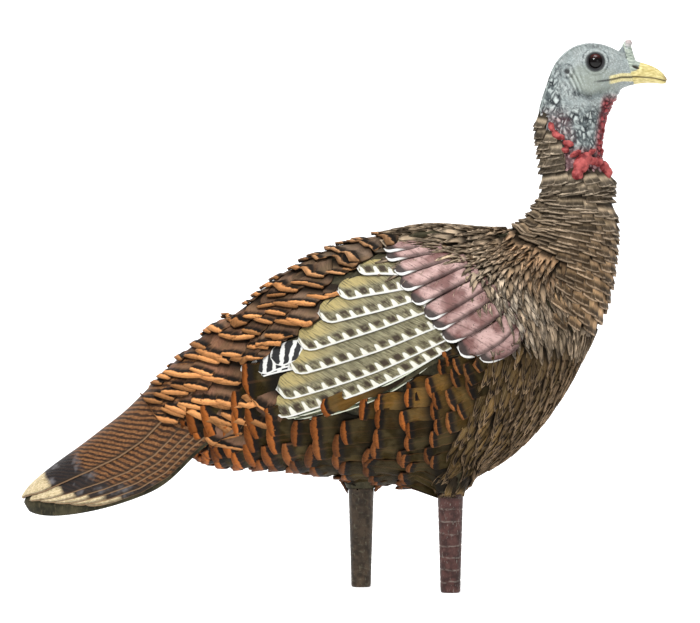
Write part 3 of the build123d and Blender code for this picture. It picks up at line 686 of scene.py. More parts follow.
def row_tree():
    """Geometry Nodes: sets feathers on root points, lays them on a form and gives them their material."""
    tree = bpy.data.node_groups.new("feather_rows", "GeometryNodeTree")
    face = tree.interface
    face.new_socket(name="Roots", in_out="INPUT", socket_type="NodeSocketGeometry")
    for label, kind, value in (("Feather", "NodeSocketObject", None), ("Form", "NodeSocketObject", None),
                               ("Length Scale", "NodeSocketFloat", 1.0),
                               ("Width Scale", "NodeSocketFloat", 1.0),
                               ("Turn Jitter", "NodeSocketFloat", 0.10),
                               ("Size Jitter", "NodeSocketFloat", 0.10),
                               ("Seed", "NodeSocketInt", 1), ("Paint", "NodeSocketMaterial", None)):
        socket = face.new_socket(name=label, in_out="INPUT", socket_type=kind)
        if value is not None:
            socket.default_value = value
    face.new_socket(name="Feathers", in_out="OUTPUT", socket_type="NodeSocketGeometry")
    nodes, links = tree.nodes, tree.links
    group_in, group_out = nodes.new("NodeGroupInput"), nodes.new("NodeGroupOutput")

    def named(label, kind="FLOAT"):
        node = nodes.new("GeometryNodeInputNamedAttribute")
        node.data_type = kind
        node.inputs["Name"].default_value = label
        return node.outputs["Attribute"]

    def random_value(low, high, salt):
        node = nodes.new("FunctionNodeRandomValue")
        node.data_type = "FLOAT"
        shift = nodes.new("ShaderNodeMath")
        shift.inputs[1].default_value = salt
        links.new(group_in.outputs["Seed"], shift.inputs[0])
        links.new(shift.outputs[0], node.inputs["Seed"])
        node.inputs[2].default_value, node.inputs[3].default_value = low, high
        return node.outputs[1]

    def arithmetic(operation, a, b):
        node = nodes.new("ShaderNodeMath")
        node.operation = operation
        for socket, value in zip(node.inputs, (a, b)):
            if isinstance(value, bpy.types.NodeSocket):
                links.new(value, socket)
            else:
                socket.default_value = value
        return node.outputs[0]

    tone = nodes.new("GeometryNodeStoreNamedAttribute")
    tone.data_type, tone.domain = "FLOAT", "POINT"
    tone.inputs["Name"].default_value = "tone"
    links.new(group_in.outputs["Roots"], tone.inputs["Geometry"])
    links.new(random_value(0.0, 1.0, 0), tone.inputs["Value"])

    feather = nodes.new("GeometryNodeObjectInfo")
    links.new(group_in.outputs["Feather"], feather.inputs["Object"])
    place = nodes.new("GeometryNodeInstanceOnPoints")
    links.new(tone.outputs["Geometry"], place.inputs["Points"])
    links.new(feather.outputs["Geometry"], place.inputs["Instance"])
    turn = nodes.new("FunctionNodeEulerToRotation")
    links.new(named("turn", "FLOAT_VECTOR"), turn.inputs[0])
    links.new(turn.outputs[0], place.inputs["Rotation"])
    jitter = arithmetic("ADD", 1.0,
                        arithmetic("MULTIPLY", random_value(-1.0, 1.0, 1), group_in.outputs["Size Jitter"]))
    size = nodes.new("ShaderNodeCombineXYZ")
    width = arithmetic("MULTIPLY", named("feather_width"), group_in.outputs["Width Scale"])
    length = arithmetic("MULTIPLY", named("feather_length"), group_in.outputs["Length Scale"])
    links.new(arithmetic("MULTIPLY", width, jitter), size.inputs[0])
    links.new(arithmetic("MULTIPLY", length, jitter), size.inputs[1])
    size.inputs[2].default_value = 1.0
    links.new(size.outputs[0], place.inputs["Scale"])

    swing = nodes.new("GeometryNodeRotateInstances")
    links.new(place.outputs[0], swing.inputs["Instances"])
    angle = nodes.new("ShaderNodeCombineXYZ")
    links.new(arithmetic("MULTIPLY", random_value(-1.0, 1.0, 2), group_in.outputs["Turn Jitter"]),
              angle.inputs[2])
    links.new(angle.outputs[0], swing.inputs["Rotation"])
    real = nodes.new("GeometryNodeRealizeInstances")
    links.new(swing.outputs[0], real.inputs[0])

    form = nodes.new("GeometryNodeObjectInfo")
    links.new(group_in.outputs["Form"], form.inputs["Object"])
    laid = []
    for value in (nodes.new("GeometryNodeInputPosition").outputs[0], named("form_normal", "FLOAT_VECTOR")):
        sample = nodes.new("GeometryNodeSampleNearestSurface")
        sample.data_type = "FLOAT_VECTOR"
        links.new(form.outputs["Geometry"], sample.inputs["Mesh"])
        links.new(value, sample.inputs["Value"])
        laid.append(sample.outputs[0])
    unit = nodes.new("ShaderNodeVectorMath")
    unit.operation = "NORMALIZE"
    links.new(laid[1], unit.inputs[0])
    raised = nodes.new("ShaderNodeVectorMath")
    raised.operation = "SCALE"
    links.new(unit.outputs[0], raised.inputs[0])
    links.new(arithmetic("MULTIPLY", named("lift"), named("rise")), raised.inputs["Scale"])
    total = nodes.new("ShaderNodeVectorMath")
    total.operation = "ADD"
    links.new(laid[0], total.inputs[0])
    links.new(raised.outputs[0], total.inputs[1])
    move = nodes.new("GeometryNodeSetPosition")
    links.new(real.outputs[0], move.inputs["Geometry"])
    links.new(total.outputs[0], move.inputs["Position"])
    paint = nodes.new("GeometryNodeSetMaterial")
    links.new(move.outputs[0], paint.inputs["Geometry"])
    links.new(group_in.outputs["Paint"], paint.inputs["Material"])
    links.new(paint.outputs[0], group_out.inputs[0])
    return tree


def grow_feathers(name, roots, template, form, material, body, slot, **settings):
    """Runs the feather tree on root points and keeps the result as a plain mesh piece."""
    keys = ("turn", "feather_length", "feather_width", "rise", "face", "tip", "rim", "bar", "band", "wear")
    holder = new_mesh(name + "_roots", [r["place"] for r in roots], [],
                      {k: [r[k] for r in roots] for k in keys}, False)
    modifier = holder.modifiers.new("feathers", "NODES")
    tree = bpy.data.node_groups.get("feather_rows") or row_tree()
    modifier.node_group = tree
    sockets = {s.name: s.identifier for s in tree.interface.items_tree if s.in_out == "INPUT"}
    values = {"Feather": template, "Form": form, "Paint": material, **settings}
    for label, value in values.items():
        modifier[sockets[label]] = value
    bpy.context.view_layer.update()
    graph = bpy.context.evaluated_depsgraph_get()
    mesh = bpy.data.meshes.new_from_object(holder.evaluated_get(graph), preserve_all_data_layers=True,
                                           depsgraph=graph)
    mesh.name = name
    piece = bpy.data.objects.new(name, mesh)
    bpy.context.scene.collection.objects.link(piece)
    discard(holder)
    if len(mesh.polygons) == 0:
        raise RuntimeError(f"{name} has no feathers")
    mesh.shade_smooth()
    return settle(piece, body, slot)


def make_form(name, surface, guides, start, stop):
    """A smooth skin over the model's outside, for feathers to lie on."""
    verts, normals, rings = [], [], 0
    s = start
    while s <= stop + 1e-6:
        for hit in ring_hits(surface, guides, s):
            if hit:
                verts.append(hit[0])
            elif rings > 1:      # past the model's end: carry on from the last two rings
                verts.append(2 * verts[-DIRECTIONS] - verts[-2 * DIRECTIONS])
            else:
                raise RuntimeError(f"{name} starts off the model")
        rings += 1
        s += FORM_STEP
    faces = []
    for r in range(rings - 1):
        for k in range(DIRECTIONS):
            n = (k + 1) % DIRECTIONS
            a, b = r * DIRECTIONS, (r + 1) * DIRECTIONS
            faces.append((a + k, a + n, b + n, b + k))
    form = new_mesh(name, verts, faces)
    middle = {}
    for index, vert in enumerate(form.data.vertices):
        ring = index // DIRECTIONS
        if ring not in middle:
            ring_verts = verts[ring * DIRECTIONS:(ring + 1) * DIRECTIONS]
            middle[ring] = sum(ring_verts, Vector()) / DIRECTIONS
        normal = vert.normal.copy()
        if normal.dot(verts[index] - middle[ring]) < 0:
            normal.negate()
        normals.append(normal)
    attr = form.data.attributes.new("form_normal", "FLOAT_VECTOR", "POINT")
    attr.data.foreach_set("vector", [c for n in normals for c in n])
    return form


def plant_rows(surface, guides, stations, style, seed):
    """Root points in staggered rows; style(place, normal, node, pitch) gives a feather's look or None."""
    dice = random.Random(seed)
    roots = []
    close = 5.0 * MM
    for row, s in enumerate(stations):
        here = ring_hits(surface, guides, s)
        ahead = ring_hits(surface, guides, min(s + 0.05, len(guides) - 1.001))
        if s + 0.05 > len(guides) - 1.001:
            break
        step = stations[min(row + 1, len(stations) - 1)] - stations[max(min(row, len(stations) - 2), 0)]
        count, looks = 0.5 * (row % 2), []
        for k, hit in enumerate(here):
            flow = (ahead[k][0] - hit[0]) / 0.05
            pitch, every = flow.length * step, 1
            # where rows crowd together only some of them are planted
            while pitch < close and every < 4:
                pitch, every = pitch * 2, every * 2
            looks.append((hit, flow,
                          style(hit[0] / MM, hit[1], hit[2], pitch / MM) if row % every == 0 else None))
        for k, (hit, flow, look) in enumerate(looks):
            nxt, _, _ = looks[(k + 1) % len(looks)]
            if look is None:
                continue
            share = (nxt[0] - hit[0]).length / (look["feather_width"] * look.pop("spread", 0.72))
            before, count = count, count + share
            if int(count) == int(before):
                continue
            part = (int(count) - before) / share
            place = hit[0].lerp(nxt[0], part)
            normal = hit[1].lerp(nxt[1], part).normalized()
            ahead_way = (flow - normal * flow.dot(normal)).normalized()
            lean = look.pop("lean", None)
            if lean is not None:
                pull = Vector(lean)
                pull -= normal * pull.dot(normal)
                ahead_way = (ahead_way + pull).normalized()
            across_way = ahead_way.cross(normal)
            turn = Matrix((across_way, ahead_way, normal)).transposed().to_euler()
            # it stops at the wing or lies under it
            if look.get("zone") not in (None, "neck", "mantle"):
                for _ in range(3):
                    tip = (place + ahead_way * look["feather_length"]) / MM
                    if covered_by_wing(tip.x, tip.z, -2.0):
                        look["feather_length"] *= 0.82
                        look["rise"] *= 0.70
                if covered_by_wing(tip.x, tip.z, 5.0 if look["zone"] == "flank" else 3.0):
                    continue
            roots.append({**look, "place": place + normal * 0.002, "turn": tuple(turn),
                          "wear": look["wear"] * (0.6 + 0.8 * dice.random())})
    return roots


def row_stations(start, stop, pitches):
    """Row places along the guides; pitches are (guide number, step) pairs to read the step from."""
    stations, s = [], start
    while s < stop:
        stations.append(s)
        for (a, step_a), (b, step_b) in zip(pitches, pitches[1:]):
            if a <= s <= b:
                s += lerp(step_a, step_b, (s - a) / (b - a))
                break
        else:
            s += pitches[-1][1]
    return stations


# Colours of the coat, linear
TAN = (0.33, 0.235, 0.145)
GREY_BROWN, BONE = (0.135, 0.105, 0.080), (0.52, 0.47, 0.40)
ORANGE, COPPER = (0.58, 0.235, 0.070), (0.40, 0.130, 0.045)
BRONZE = (0.16, 0.085, 0.045)


def neck_look(place, normal, node, pitch):
    """Ring-like rows of taupe feathers round the neck."""
    x, _, z = place
    face = mix3((0.60, 0.385, 0.21), (0.48, 0.385, 0.27), smooth(310, 430, z))
    # a painted shadow: near-black in the hollow where the neck meets the shoulder
    face = mix3(face, (0.02, 0.015, 0.01), 0.75 * bump(hypot(x - 216, z - 328), 0, 24))
    return {"feather_length": (pitch * 1.7 + 3) * MM, "feather_width": 19 * MM, "rise": 5.8 * MM,
            "face": face, "tip": mix3(face, BONE, 0.22), "rim": mix3(TAN, BONE, 0.20), "bar": 1.8,
            "band": 0.85,
            "wear": 0.35, "spread": 0.60}


def covered_by_wing(x, z, slack=0.0):
    """Whether a place in the side view lies under the wing's long feathers."""
    for root, middle, tip, width in COVERTS + SECONDARIES + PRIMARIES + FOLDED_EDGES:
        at = bent((root, middle, tip))
        path = [at(k / 6) for k in range(7)]
        if distance_to_path(path, x, z) < width / 2 - slack:
            return True
    return False


def coat_zone(place, node):
    """Which part of the coat a root belongs to."""
    x, _, z = place
    if node in ("right_wing", "left_wing") and covered_by_wing(x, z, 8.0):
        return "wing"
    if node == "tail_fan":
        return "coverts" if z > 190 else "wing"
    if z > 280 and x > 226 - 0.25 * max(0.0, 330 - z) or (x > 180 and z > 340 + 0.4 * (222 - x)):
        return "neck"
    if x > 148 - 0.55 * (z - 250) * (z > 250) and z > 262 or (z > 322 and x > 70):
        return "mantle"
    if x > 128 + 0.35 * (z - 180) * (z < 300):
        return "breast"
    if z > 232 + 0.6 * max(0.0, x) and x > -70 or z > 190 and x <= -70:
        return "back"
    return "flank"


def coat_look(place, normal, node, pitch):
    """The look of a body feather at a place."""
    zone = coat_zone(place, node)
    x, y, z = place
    spot = noise.noise(Vector((x, y, z)) * 0.03) * 0.5 + 0.5
    grain = noise.noise(Vector((x, y, z)) * 0.21) * 0.5 + 0.5
    if zone == "wing":
        return None
    if zone == "neck":
        return {**neck_look(place, normal, node, pitch), "zone": zone}
    if zone == "mantle":
        pale = bump(x, 162, 50) * bump(z, 292, 56) * smooth(0.42, 0.55, grain)
        rust = smooth(150, 195, x) * smooth(300, 330, z)
        # a painted shadow: near-black in the hollow where the neck meets the shoulder
        neck_hollow_shadow = bump(hypot(x - 212, z - 324), 0, 34)
        face = mix3(mix3((0.14, 0.10, 0.066), (0.86, 0.66, 0.46), 0.1 + 0.9 * grain), (0.42, 0.20, 0.072),
                    0.6 * rust)
        face = mix3(mix3(face, BONE, 0.6 * pale), (0.015, 0.010, 0.007), 0.7 * neck_hollow_shadow)
        down = smooth(345, 300, z)
        return {"feather_length": (pitch * 1.6 + 20) * MM, "feather_width": 8.2 * MM, "rise": 5.0 * MM,
                "face": face, "tip": mix3(face, BONE, 0.15 + 0.5 * pale),
                "rim": mix3(TAN, BONE, 0.1 + 0.5 * pale),
                "bar": 2.0, "band": 0.8, "wear": 0.7, "spread": 0.72, "lean": (1.3 * down, 0, -1.1 * down),
                "zone": zone}
    if zone == "breast":
        front = smooth(150, 230, x)
        face = mix3(mix3((0.03, 0.022, 0.008), (0.24, 0.145, 0.055), grain), GREY_BROWN, 0.3 * front)
        return {"feather_length": (pitch * 1.3 + 30) * MM, "feather_width": 8.4 * MM, "rise": 5.6 * MM,
                "face": face, "tip": mix3(face, TAN, 0.35 + 0.3 * spot), "rim": mix3(TAN, BRONZE, 0.3),
                "bar": 2.4,
                "band": 1.0, "wear": 1.0, "spread": 0.74, "lean": (-0.05, 0, -3.2), "zone": zone}
    if zone == "flank":
        gold = bump(x, 85, 60) * bump(z, 205, 50)
        face = mix3(mix3((0.008, 0.006, 0.001), (0.035, 0.022, 0.004), spot), (0.21, 0.105, 0.022),
                    0.75 * gold)
        strength = smooth(160, 70, x) * smooth(0.20, 0.45, grain + 0.25)
        tip = mix3((0.15, 0.078, 0.030), (0.24, 0.070, 0.014), 0.25 + 0.75 * strength)
        tip = mix3(tip, (0.10, 0.040, 0.014), 0.65 * smooth(175, 140, z) * smooth(-60, 0, x))
        narrow = smooth(20, 90, x)
        return {"feather_length": (pitch * 1.55 + 8) * MM, "feather_width": (38 - 16 * narrow) * MM,
                "rise": 5.6 * MM,
                "face": face, "tip": tip, "rim": mix3(COPPER, TAN, 0.3),
                "bar": 4.6 + 3.0 * strength - 2.0 * narrow, "band": 1.0,
                "wear": 0.10, "spread": 0.66, "zone": zone}
    # back and tail coverts
    grey = smooth(-60, 20, x) * smooth(300, 340, z)
    face = mix3(mix3(GREY_BROWN, BRONZE, 0.75 * spot + 0.1), (0.21, 0.085, 0.045), 0.6 * smooth(0, -130, x))
    tip = mix3(mix3((0.60, 0.27, 0.095), (0.42, 0.18, 0.065), grain), TAN, 0.45 * grey)
    outward_lean = max(-1.0, min(1.0, y / 25))
    return {"feather_length": (pitch * 1.5 + 12) * MM, "feather_width": (34 - 10 * grey) * MM,
            "rise": 5.4 * MM,
            "face": face, "tip": tip, "rim": mix3(ORANGE, TAN, 0.35), "bar": 5.8 - 1.4 * grey, "band": 1.0,
            "wear": 0.12, "spread": 0.68, "lean": (-0.10, 1.1 * outward_lean, -1.5),
            "zone": "coverts" if zone == "coverts" else "back"}


def flank_look(place, normal, node, pitch):
    """The coat's look with the flank carried on a little way under the breast feathers."""
    return coat_look(Vector((place[0] - 20 * smooth(60, 90, place[0]), place[1], place[2])), normal, node,
                     pitch)


# ---- Long feathers: wings and tail ----
STRIP_ROWS, STRIP_COLUMNS = 28, 10
STRIP_TIP = 0.6            # a strip rounds off over this share of its width
STRIP_ROOT = 0.75          # its width at the root as a share of the full width
STRIP_LEAST = 0.12         # half its least width in millimetres


def strip_grid(centre, width):
    """Rows of points (x, z, across, half width, way to the tip) along centre(t), all in millimetres.

    across runs from -1 on the upper edge to 1 on the lower edge.
    """
    path = [centre(j / STRIP_ROWS) for j in range(STRIP_ROWS + 1)]
    lengths = [0.0]
    for a, b in zip(path, path[1:]):
        lengths.append(lengths[-1] + hypot(b[0] - a[0], b[1] - a[1]))
    grid = []
    for j in range(STRIP_ROWS + 1):
        ahead, behind = path[min(j + 1, STRIP_ROWS)], path[max(j - 1, 0)]
        dx, dz = ahead[0] - behind[0], ahead[1] - behind[1]
        size = hypot(dx, dz) or 1.0
        nx, nz = -dz / size, dx / size
        left = lengths[-1] - lengths[j]
        round_part = min(1.0, left / (width * STRIP_TIP))
        taper = STRIP_ROOT + (1 - STRIP_ROOT) * smooth(0, 0.5, j / STRIP_ROWS)
        half = 0.5 * width * taper * sqrt(max(0.0, 1 - (1 - round_part) ** 2))
        half = max(half, STRIP_LEAST)
        line = []
        for i in range(STRIP_COLUMNS + 1):
            u = 2 * i / STRIP_COLUMNS - 1
            line.append((path[j][0] + nx * half * u, path[j][1] + nz * half * u, u, half, left))
        grid.append(line)
    return grid


def strip_mesh(name, feathers, cast, material, body, slot):
    """Joins long feathers into one closed piece; cast(x, z) gives a place on the model and its normal."""
    verts, faces = [], []
    values = {k: [] for k in ("across", "from_tip", "lower_mm", "tone", "under")}
    for f in feathers:
        grid = strip_grid(f["centre"], f["width"])
        base = len(verts)
        hits = [[cast(x, z) for x, z, *_ in line] for line in grid]
        last = None
        for line in hits:
            for k, hit in enumerate(line):
                if hit is None:
                    line[k] = last
                else:
                    last = hit
        for top in (True, False):
            for j, line in enumerate(grid):
                t = j / STRIP_ROWS
                for i, (_, _, u, half, left) in enumerate(line):
                    place, normal = hits[j][i]
                    slope = lerp(f["upper"], f["lower"], 0.5 + 0.5 * u)
                    lift = (f["root"] + (1 - f["root"]) * smooth(0, 0.55, t)) * slope + f.get("base", 0.0)
                    round_edge = 0.35 * smooth(0.78, 1.0, abs(u)) + 0.35 * smooth(2.5, 0.0, left)
                    lift -= min(0.6, round_edge) * f["thick"]
                    if not top:
                        lift -= f["thick"] * (1 - 0.7 * min(1.0, round_edge))
                    verts.append(place + normal * lift * MM)
                    values["across"].append(-u)
                    values["from_tip"].append(left)
                    values["lower_mm"].append(min((1 - u) * max(half, 1.0), 40.0))
                    values["tone"].append(f["tone"])
                    values["under"].append(0.0 if top else 1.0)
        faces += shell_faces(base, STRIP_ROWS, STRIP_COLUMNS)
    piece = new_mesh(name, verts, faces, values)
    outward(piece)
    return settle(piece, body, slot, material)


# (root, middle, tip, width) of each wing feather in the side view, the uppermost first
COVERTS = [
    ((84, 345), (62, 342), (42, 338), 11), ((98, 341), (70, 336), (43.5, 330), 13),
    ((110, 335), (80, 327), (52, 317), 16), ((122, 329), (90, 317), (58, 303), 18),
    ((133, 320), (100, 306), (69, 289), 18), ((143, 308), (112, 293), (82, 275), 18),
    ((152, 300), (120, 284), (90, 265), 18), ((162, 290), (130, 270), (99, 255), 20),
    ((170, 278), (146, 256), (113, 246), 21), ((174, 266), (160, 250), (134, 238), 20),
]
SECONDARIES = [
    ((80, 318), (46, 322), (15.5, 320), 17), ((84, 312), (34, 306), (-3.5, 298), 22),
    ((88, 304), (30, 290), (-22.5, 277), 25), ((92, 292), (22, 271), (-43, 250), 27),
    ((97, 276), (22, 250), (-52, 228), 27), ((102, 262), (22, 230), (-64, 204), 26),
    ((104, 252), (24, 215), (-68, 186), 22),
]
PRIMARIES = [
    ((-20, 246), (-50, 240), (-67.5, 230), 21), ((-20, 240), (-60, 234), (-84, 222), 21),
    ((-20, 234), (-64, 230), (-99, 216), 21),
]
FOLDED_EDGES = [
    ((96, 246), (24, 209), (-61, 182), 17), ((92, 240), (26, 204), (-52, 180), 15),
    ((88, 235), (30, 200), (-42, 179), 13),
]


def bent(points, sag=0.0):
    """A smooth run through root, middle and tip."""
    (ax, az), (bx, bz), (cx, cz) = points
    mx, mz = 2 * bx - (ax + cx) / 2, 2 * bz - (az + cz) / 2

    def at(t):
        x = (1 - t) ** 2 * ax + 2 * t * (1 - t) * mx + t * t * cx
        z = (1 - t) ** 2 * az + 2 * t * (1 - t) * mz + t * t * cz
        return x, z
    return at


def make_wing_feathers(side_name):
    """The folded wing of one side."""
    side = SIDES[side_name]
    surface = Surface(f"{side_name}_wing", "body_shell", "tail_fan")
    cast = wing_form(surface, side)
    groups = (
        ("covert_feathers", COVERTS, covert_material(),
         dict(upper=2.4, lower=5.4, root=0.35, thick=1.8, base=1.4)),
        ("secondary_feathers", SECONDARIES, olive_wing_material(),
         dict(upper=1.0, lower=4.6, root=0.5, thick=1.9, base=1.0)),
        ("primary_feathers", PRIMARIES, primary_material(),
         dict(upper=2.0, lower=3.0, root=0.2, thick=1.2)),
        ("folded_edge_feathers", FOLDED_EDGES, stack_material(),
         dict(upper=0.8, lower=2.6, root=0.5, thick=1.1)),
    )
    dice = random.Random(11)
    for label, table, material, shape in groups:
        feathers = []
        for k, (root, middle, tip, width) in enumerate(table):
            extra = dict(shape)
            if label == "folded_edge_feathers":
                extra["base"] = 0.6 - 0.4 * k
            if label == "primary_feathers":
                extra["base"] = 0.9 - 0.5 * k
            feathers.append({"centre": bent((root, middle, tip)), "width": width, "tone": dice.random(),
                             **extra})
        strip_mesh(f"{side_name}_{label}", feathers, cast, material, "body", "wing_plastic")


def wing_form(surface, side):
    """Smoothed places and normals of the body's side, read by place in the side view."""
    x0, x1, z0, z1, step = -125.0, 195.0, 150.0, 365.0, 5.0
    nx, nz = int((x1 - x0) / step) + 1, int((z1 - z0) / step) + 1
    depth = [[None] * nx for _ in range(nz)]
    for j in range(nz):
        for i in range(nx):
            hit = surface.from_side(side, x0 + i * step, z0 + j * step)
            depth[j][i] = abs(hit[0].y) / MM if hit else None
    for _ in range(60):
        changed = False
        for j in range(nz):
            for i in range(nx):
                if depth[j][i] is None:
                    near = [depth[b][a] for a, b in ((i - 1, j), (i + 1, j), (i, j - 1), (i, j + 1))
                            if 0 <= a < nx and 0 <= b < nz and depth[b][a] is not None]
                    if near:
                        depth[j][i] = max(0.0, sum(near) / len(near) - 3.0)
                        changed = True
        if not changed:
            break
    for _ in range(3):
        depth = [[(depth[j][i] * 2 + sum(depth[min(max(j + b, 0), nz - 1)][min(max(i + a, 0), nx - 1)]
                                         for a, b in ((-1, 0), (1, 0), (0, -1), (0, 1)))) / 6
                  for i in range(nx)] for j in range(nz)]

    def read(x, z):
        fx, fz = min(max((x - x0) / step, 0), nx - 1.001), min(max((z - z0) / step, 0), nz - 1.001)
        i, j = int(fx), int(fz)
        fx, fz = fx - i, fz - j
        a = lerp(depth[j][i], depth[j][i + 1], fx)
        b = lerp(depth[j + 1][i], depth[j + 1][i + 1], fx)
        return lerp(a, b, fz)

    def at(x, z):
        y = read(x, z)
        gx = (read(x + 3, z) - read(x - 3, z)) / 6
        gz = (read(x, z + 3) - read(x, z - 3)) / 6
        normal = Vector((-gx, side, -gz)).normalized()
        return Vector((x, side * y, z)) * MM, normal
    return at


# ---- Tail ----
TAIL_SLOPE = radians(34.5)
TAIL_START = (-132.0, 206.0)
# (distance along the tail, ridge height, edge height), from its own axis
TAIL_PROFILE = [(-52, 47, -44), (-17, 42, -45), (16, 37, -46.5), (50, 30, -49), (85, 23, -55),
                (115, 21, -53),
                (145, 19.5, -45), (172, 19, -35), (195, 17.5, -24), (213, 14, -12), (221, 9, -3)]


def tail_frame(along, height, side=0.0):
    """A point of the tail's own frame, in metres in the model's."""
    x = TAIL_START[0] - along * cos(TAIL_SLOPE) - height * sin(TAIL_SLOPE)
    z = TAIL_START[1] - along * sin(TAIL_SLOPE) + height * cos(TAIL_SLOPE)
    return Vector((x, side, z)) * MM


def tail_profile(along, column):
    """Ridge or edge height at a distance along the tail."""
    for a, b in zip(TAIL_PROFILE, TAIL_PROFILE[1:]):
        if along <= b[0]:
            return lerp(a[column], b[column], max(0.0, (along - a[0]) / (b[0] - a[0])))
    return TAIL_PROFILE[-1][column]


def make_tail_feathers():
    """The long tail feathers: one over the ridge, and the rest down both sides under it."""
    surface = Surface("tail_fan", "body_shell", "right_wing", "left_wing")
    up = (tail_frame(0, 1) - tail_frame(0, 0)).normalized()

    def cast(along, angle):
        """The model's outside at a distance along the tail and an angle round it, carried on past its end."""
        turn = radians(angle)
        way = up * cos(turn) + Vector((0, 1, 0)) * sin(turn)
        for back in (0, 1, 2, 4, 7, 11, 16):
            at = min(along, 219.5) - back
            middle = tail_frame(at, tail_profile(at, 2) + 2.5)
            hit = surface.cast(middle + way * 0.15, middle)
            if hit:
                return hit[0] + tail_frame(back, 0) - tail_frame(0, 0), hit[1]
        return None

    material = tail_material()
    layout = []      # (centre angle at the root, at the tip, half width in degrees, end)
    for k, (start, stop, half, end) in enumerate((
            (46, 44, 17, 215), (58, 56, 14, 206), (68, 66, 11, 195), (76, 75, 9, 182), (84, 83, 7, 169))):
        for side in (1, -1):
            layout.append((k + 1, side * start, side * stop, half, end))
    layout.append((0, 0, 0, 44, 221.5))
    verts, faces = [], []
    values = {k: [] for k in ("across", "from_tip", "lower_mm", "tone", "under", "sweep")}
    dice = random.Random(5)
    rows, columns = 60, 16
    for order, start, stop, half, end in layout:
        tone = dice.random()
        base = len(verts)
        begin = -8.0 if order < 2 else -46.0
        lower = 1.0 if start >= 0 else -1.0
        for top in (True, False):
            for j in range(rows + 1):
                t = 1 - (1 - j / rows) ** 1.35
                along = lerp(begin, end, t)
                left = end - along
                round_part = min(1.0, left / 26.0)
                spread = half * max(0.02, sqrt(max(0.0, 1 - (1 - round_part) ** 2)))
                centre = lerp(start, stop, smooth(0, 1, t))
                for i in range(columns + 1):
                    u = 2 * i / columns - 1
                    angle = max(-89.0, min(89.0, centre + spread * u))
                    hit = cast(along, angle)
                    if hit is None:
                        raise RuntimeError("a tail feather misses the tail")
                    low = u * lower if order else abs(u)
                    arc = spread * 0.8
                    lift = (4.2 if order == 0 else 3.4) * (0.5 + 0.5 * smooth(0, 0.4, t))
                    tuck = 2.4 * (0.5 - 0.5 * low) if order else 0.0
                    lift = lift - tuck - 0.15 * order
                    if order > 1:
                        lift -= 3.4 * smooth(0.16, 0.0, t)
                    thick = 1.6 + 0.9 * smooth(60, 0, left)
                    round_edge = 0.5 * smooth(0.80, 1.0, abs(u)) + 0.4 * smooth(2.5, 0.0, left)
                    lift -= min(0.7, round_edge) * thick
                    if not top:
                        lift -= thick * (1 - 0.7 * min(1.0, round_edge))
                    verts.append(hit[0] + hit[1] * lift * MM)
                    values["across"].append(u)
                    values["from_tip"].append(left)
                    values["lower_mm"].append((1 - low) * arc)
                    values["tone"].append(tone)
                    values["under"].append(0.0 if top else 1.0)
                    values["sweep"].append(1.15 * abs(u) ** 1.3 * arc if order == 0 else 0.9 * low * arc)
        faces += shell_faces(base, rows, columns)
    piece = new_mesh("tail_feathers", verts, faces, values)
    outward(piece)
    settle(piece, "body", "tail_plastic", material)


# ---- Head ----
THROAT = [(272, 500), (266.5, 488), (263, 474), (259, 458), (257, 444), (256.5, 430)]
MOUTH = [(264.5, 509.5), (276.5, 512.5), (293, 512.8), (310, 511.5), (322.5, 508.5)]
NOSTRIL = (291.5, 522.3)
LOBES = [      # (x, z, long half, short half, height, degrees the long side turns from upright, heat)
    (236, 424, 8.5, 8.0, 6.5, 10, 1.0), (233, 415, 6.5, 6.0, 6.0, -10, 1.0),
    (241, 430, 6.0, 6.5, 5.5, 50, 0.9),
    (247.5, 428, 5.5, 4.0, 5.0, 80, 0.8), (252, 427, 5.5, 4.5, 5.5, 60, 0.9),
    (257, 422, 6.5, 5.0, 6.0, 30, 1.0),
    (261, 416, 6.5, 4.6, 6.0, 35, 1.0), (212, 455, 5.5, 3.6, 3.4, -35, 0.15),
    (208, 463, 5.0, 3.4, 3.2, -25, 0.1),
    (216, 453, 5.5, 3.0, 3.6, -75, 0.3), (224, 446, 6.0, 3.4, 3.8, -80, 0.25),
    (221.5, 439.5, 4.2, 3.0, 4.0, -80, 0.55),
    (231, 436, 7.0, 2.8, 3.4, 60, 0.45), (239, 434, 7.0, 2.6, 3.2, 65, 0.45),
    (247, 438, 6.0, 2.8, 3.0, 70, 0.35),
    (255, 439, 3.6, 3.2, 3.6, 0, 0.55), (257, 448, 3.4, 2.6, 3.0, 0, 0.4),
    (260, 460, 3.4, 2.4, 3.0, 10, 0.35),
]


def on_head_front(x, z):
    """How near a place is to the red band down the throat, 0 to 1."""
    width = 6.5 + 2.5 * smooth(440, 490, z)
    return smooth(width + 3, width - 2, distance_to_path(THROAT, x, z)) * smooth(503, 494, z)


def cell(x, y, z, size):
    """A rounded pebble: 1 in the middle of a cell and 0 on its border."""
    distances, _ = noise.voronoi(Vector((x, y, z)) / size)
    return min(1.0, max(0.0, (distances[1] - distances[0]) * 1.7))


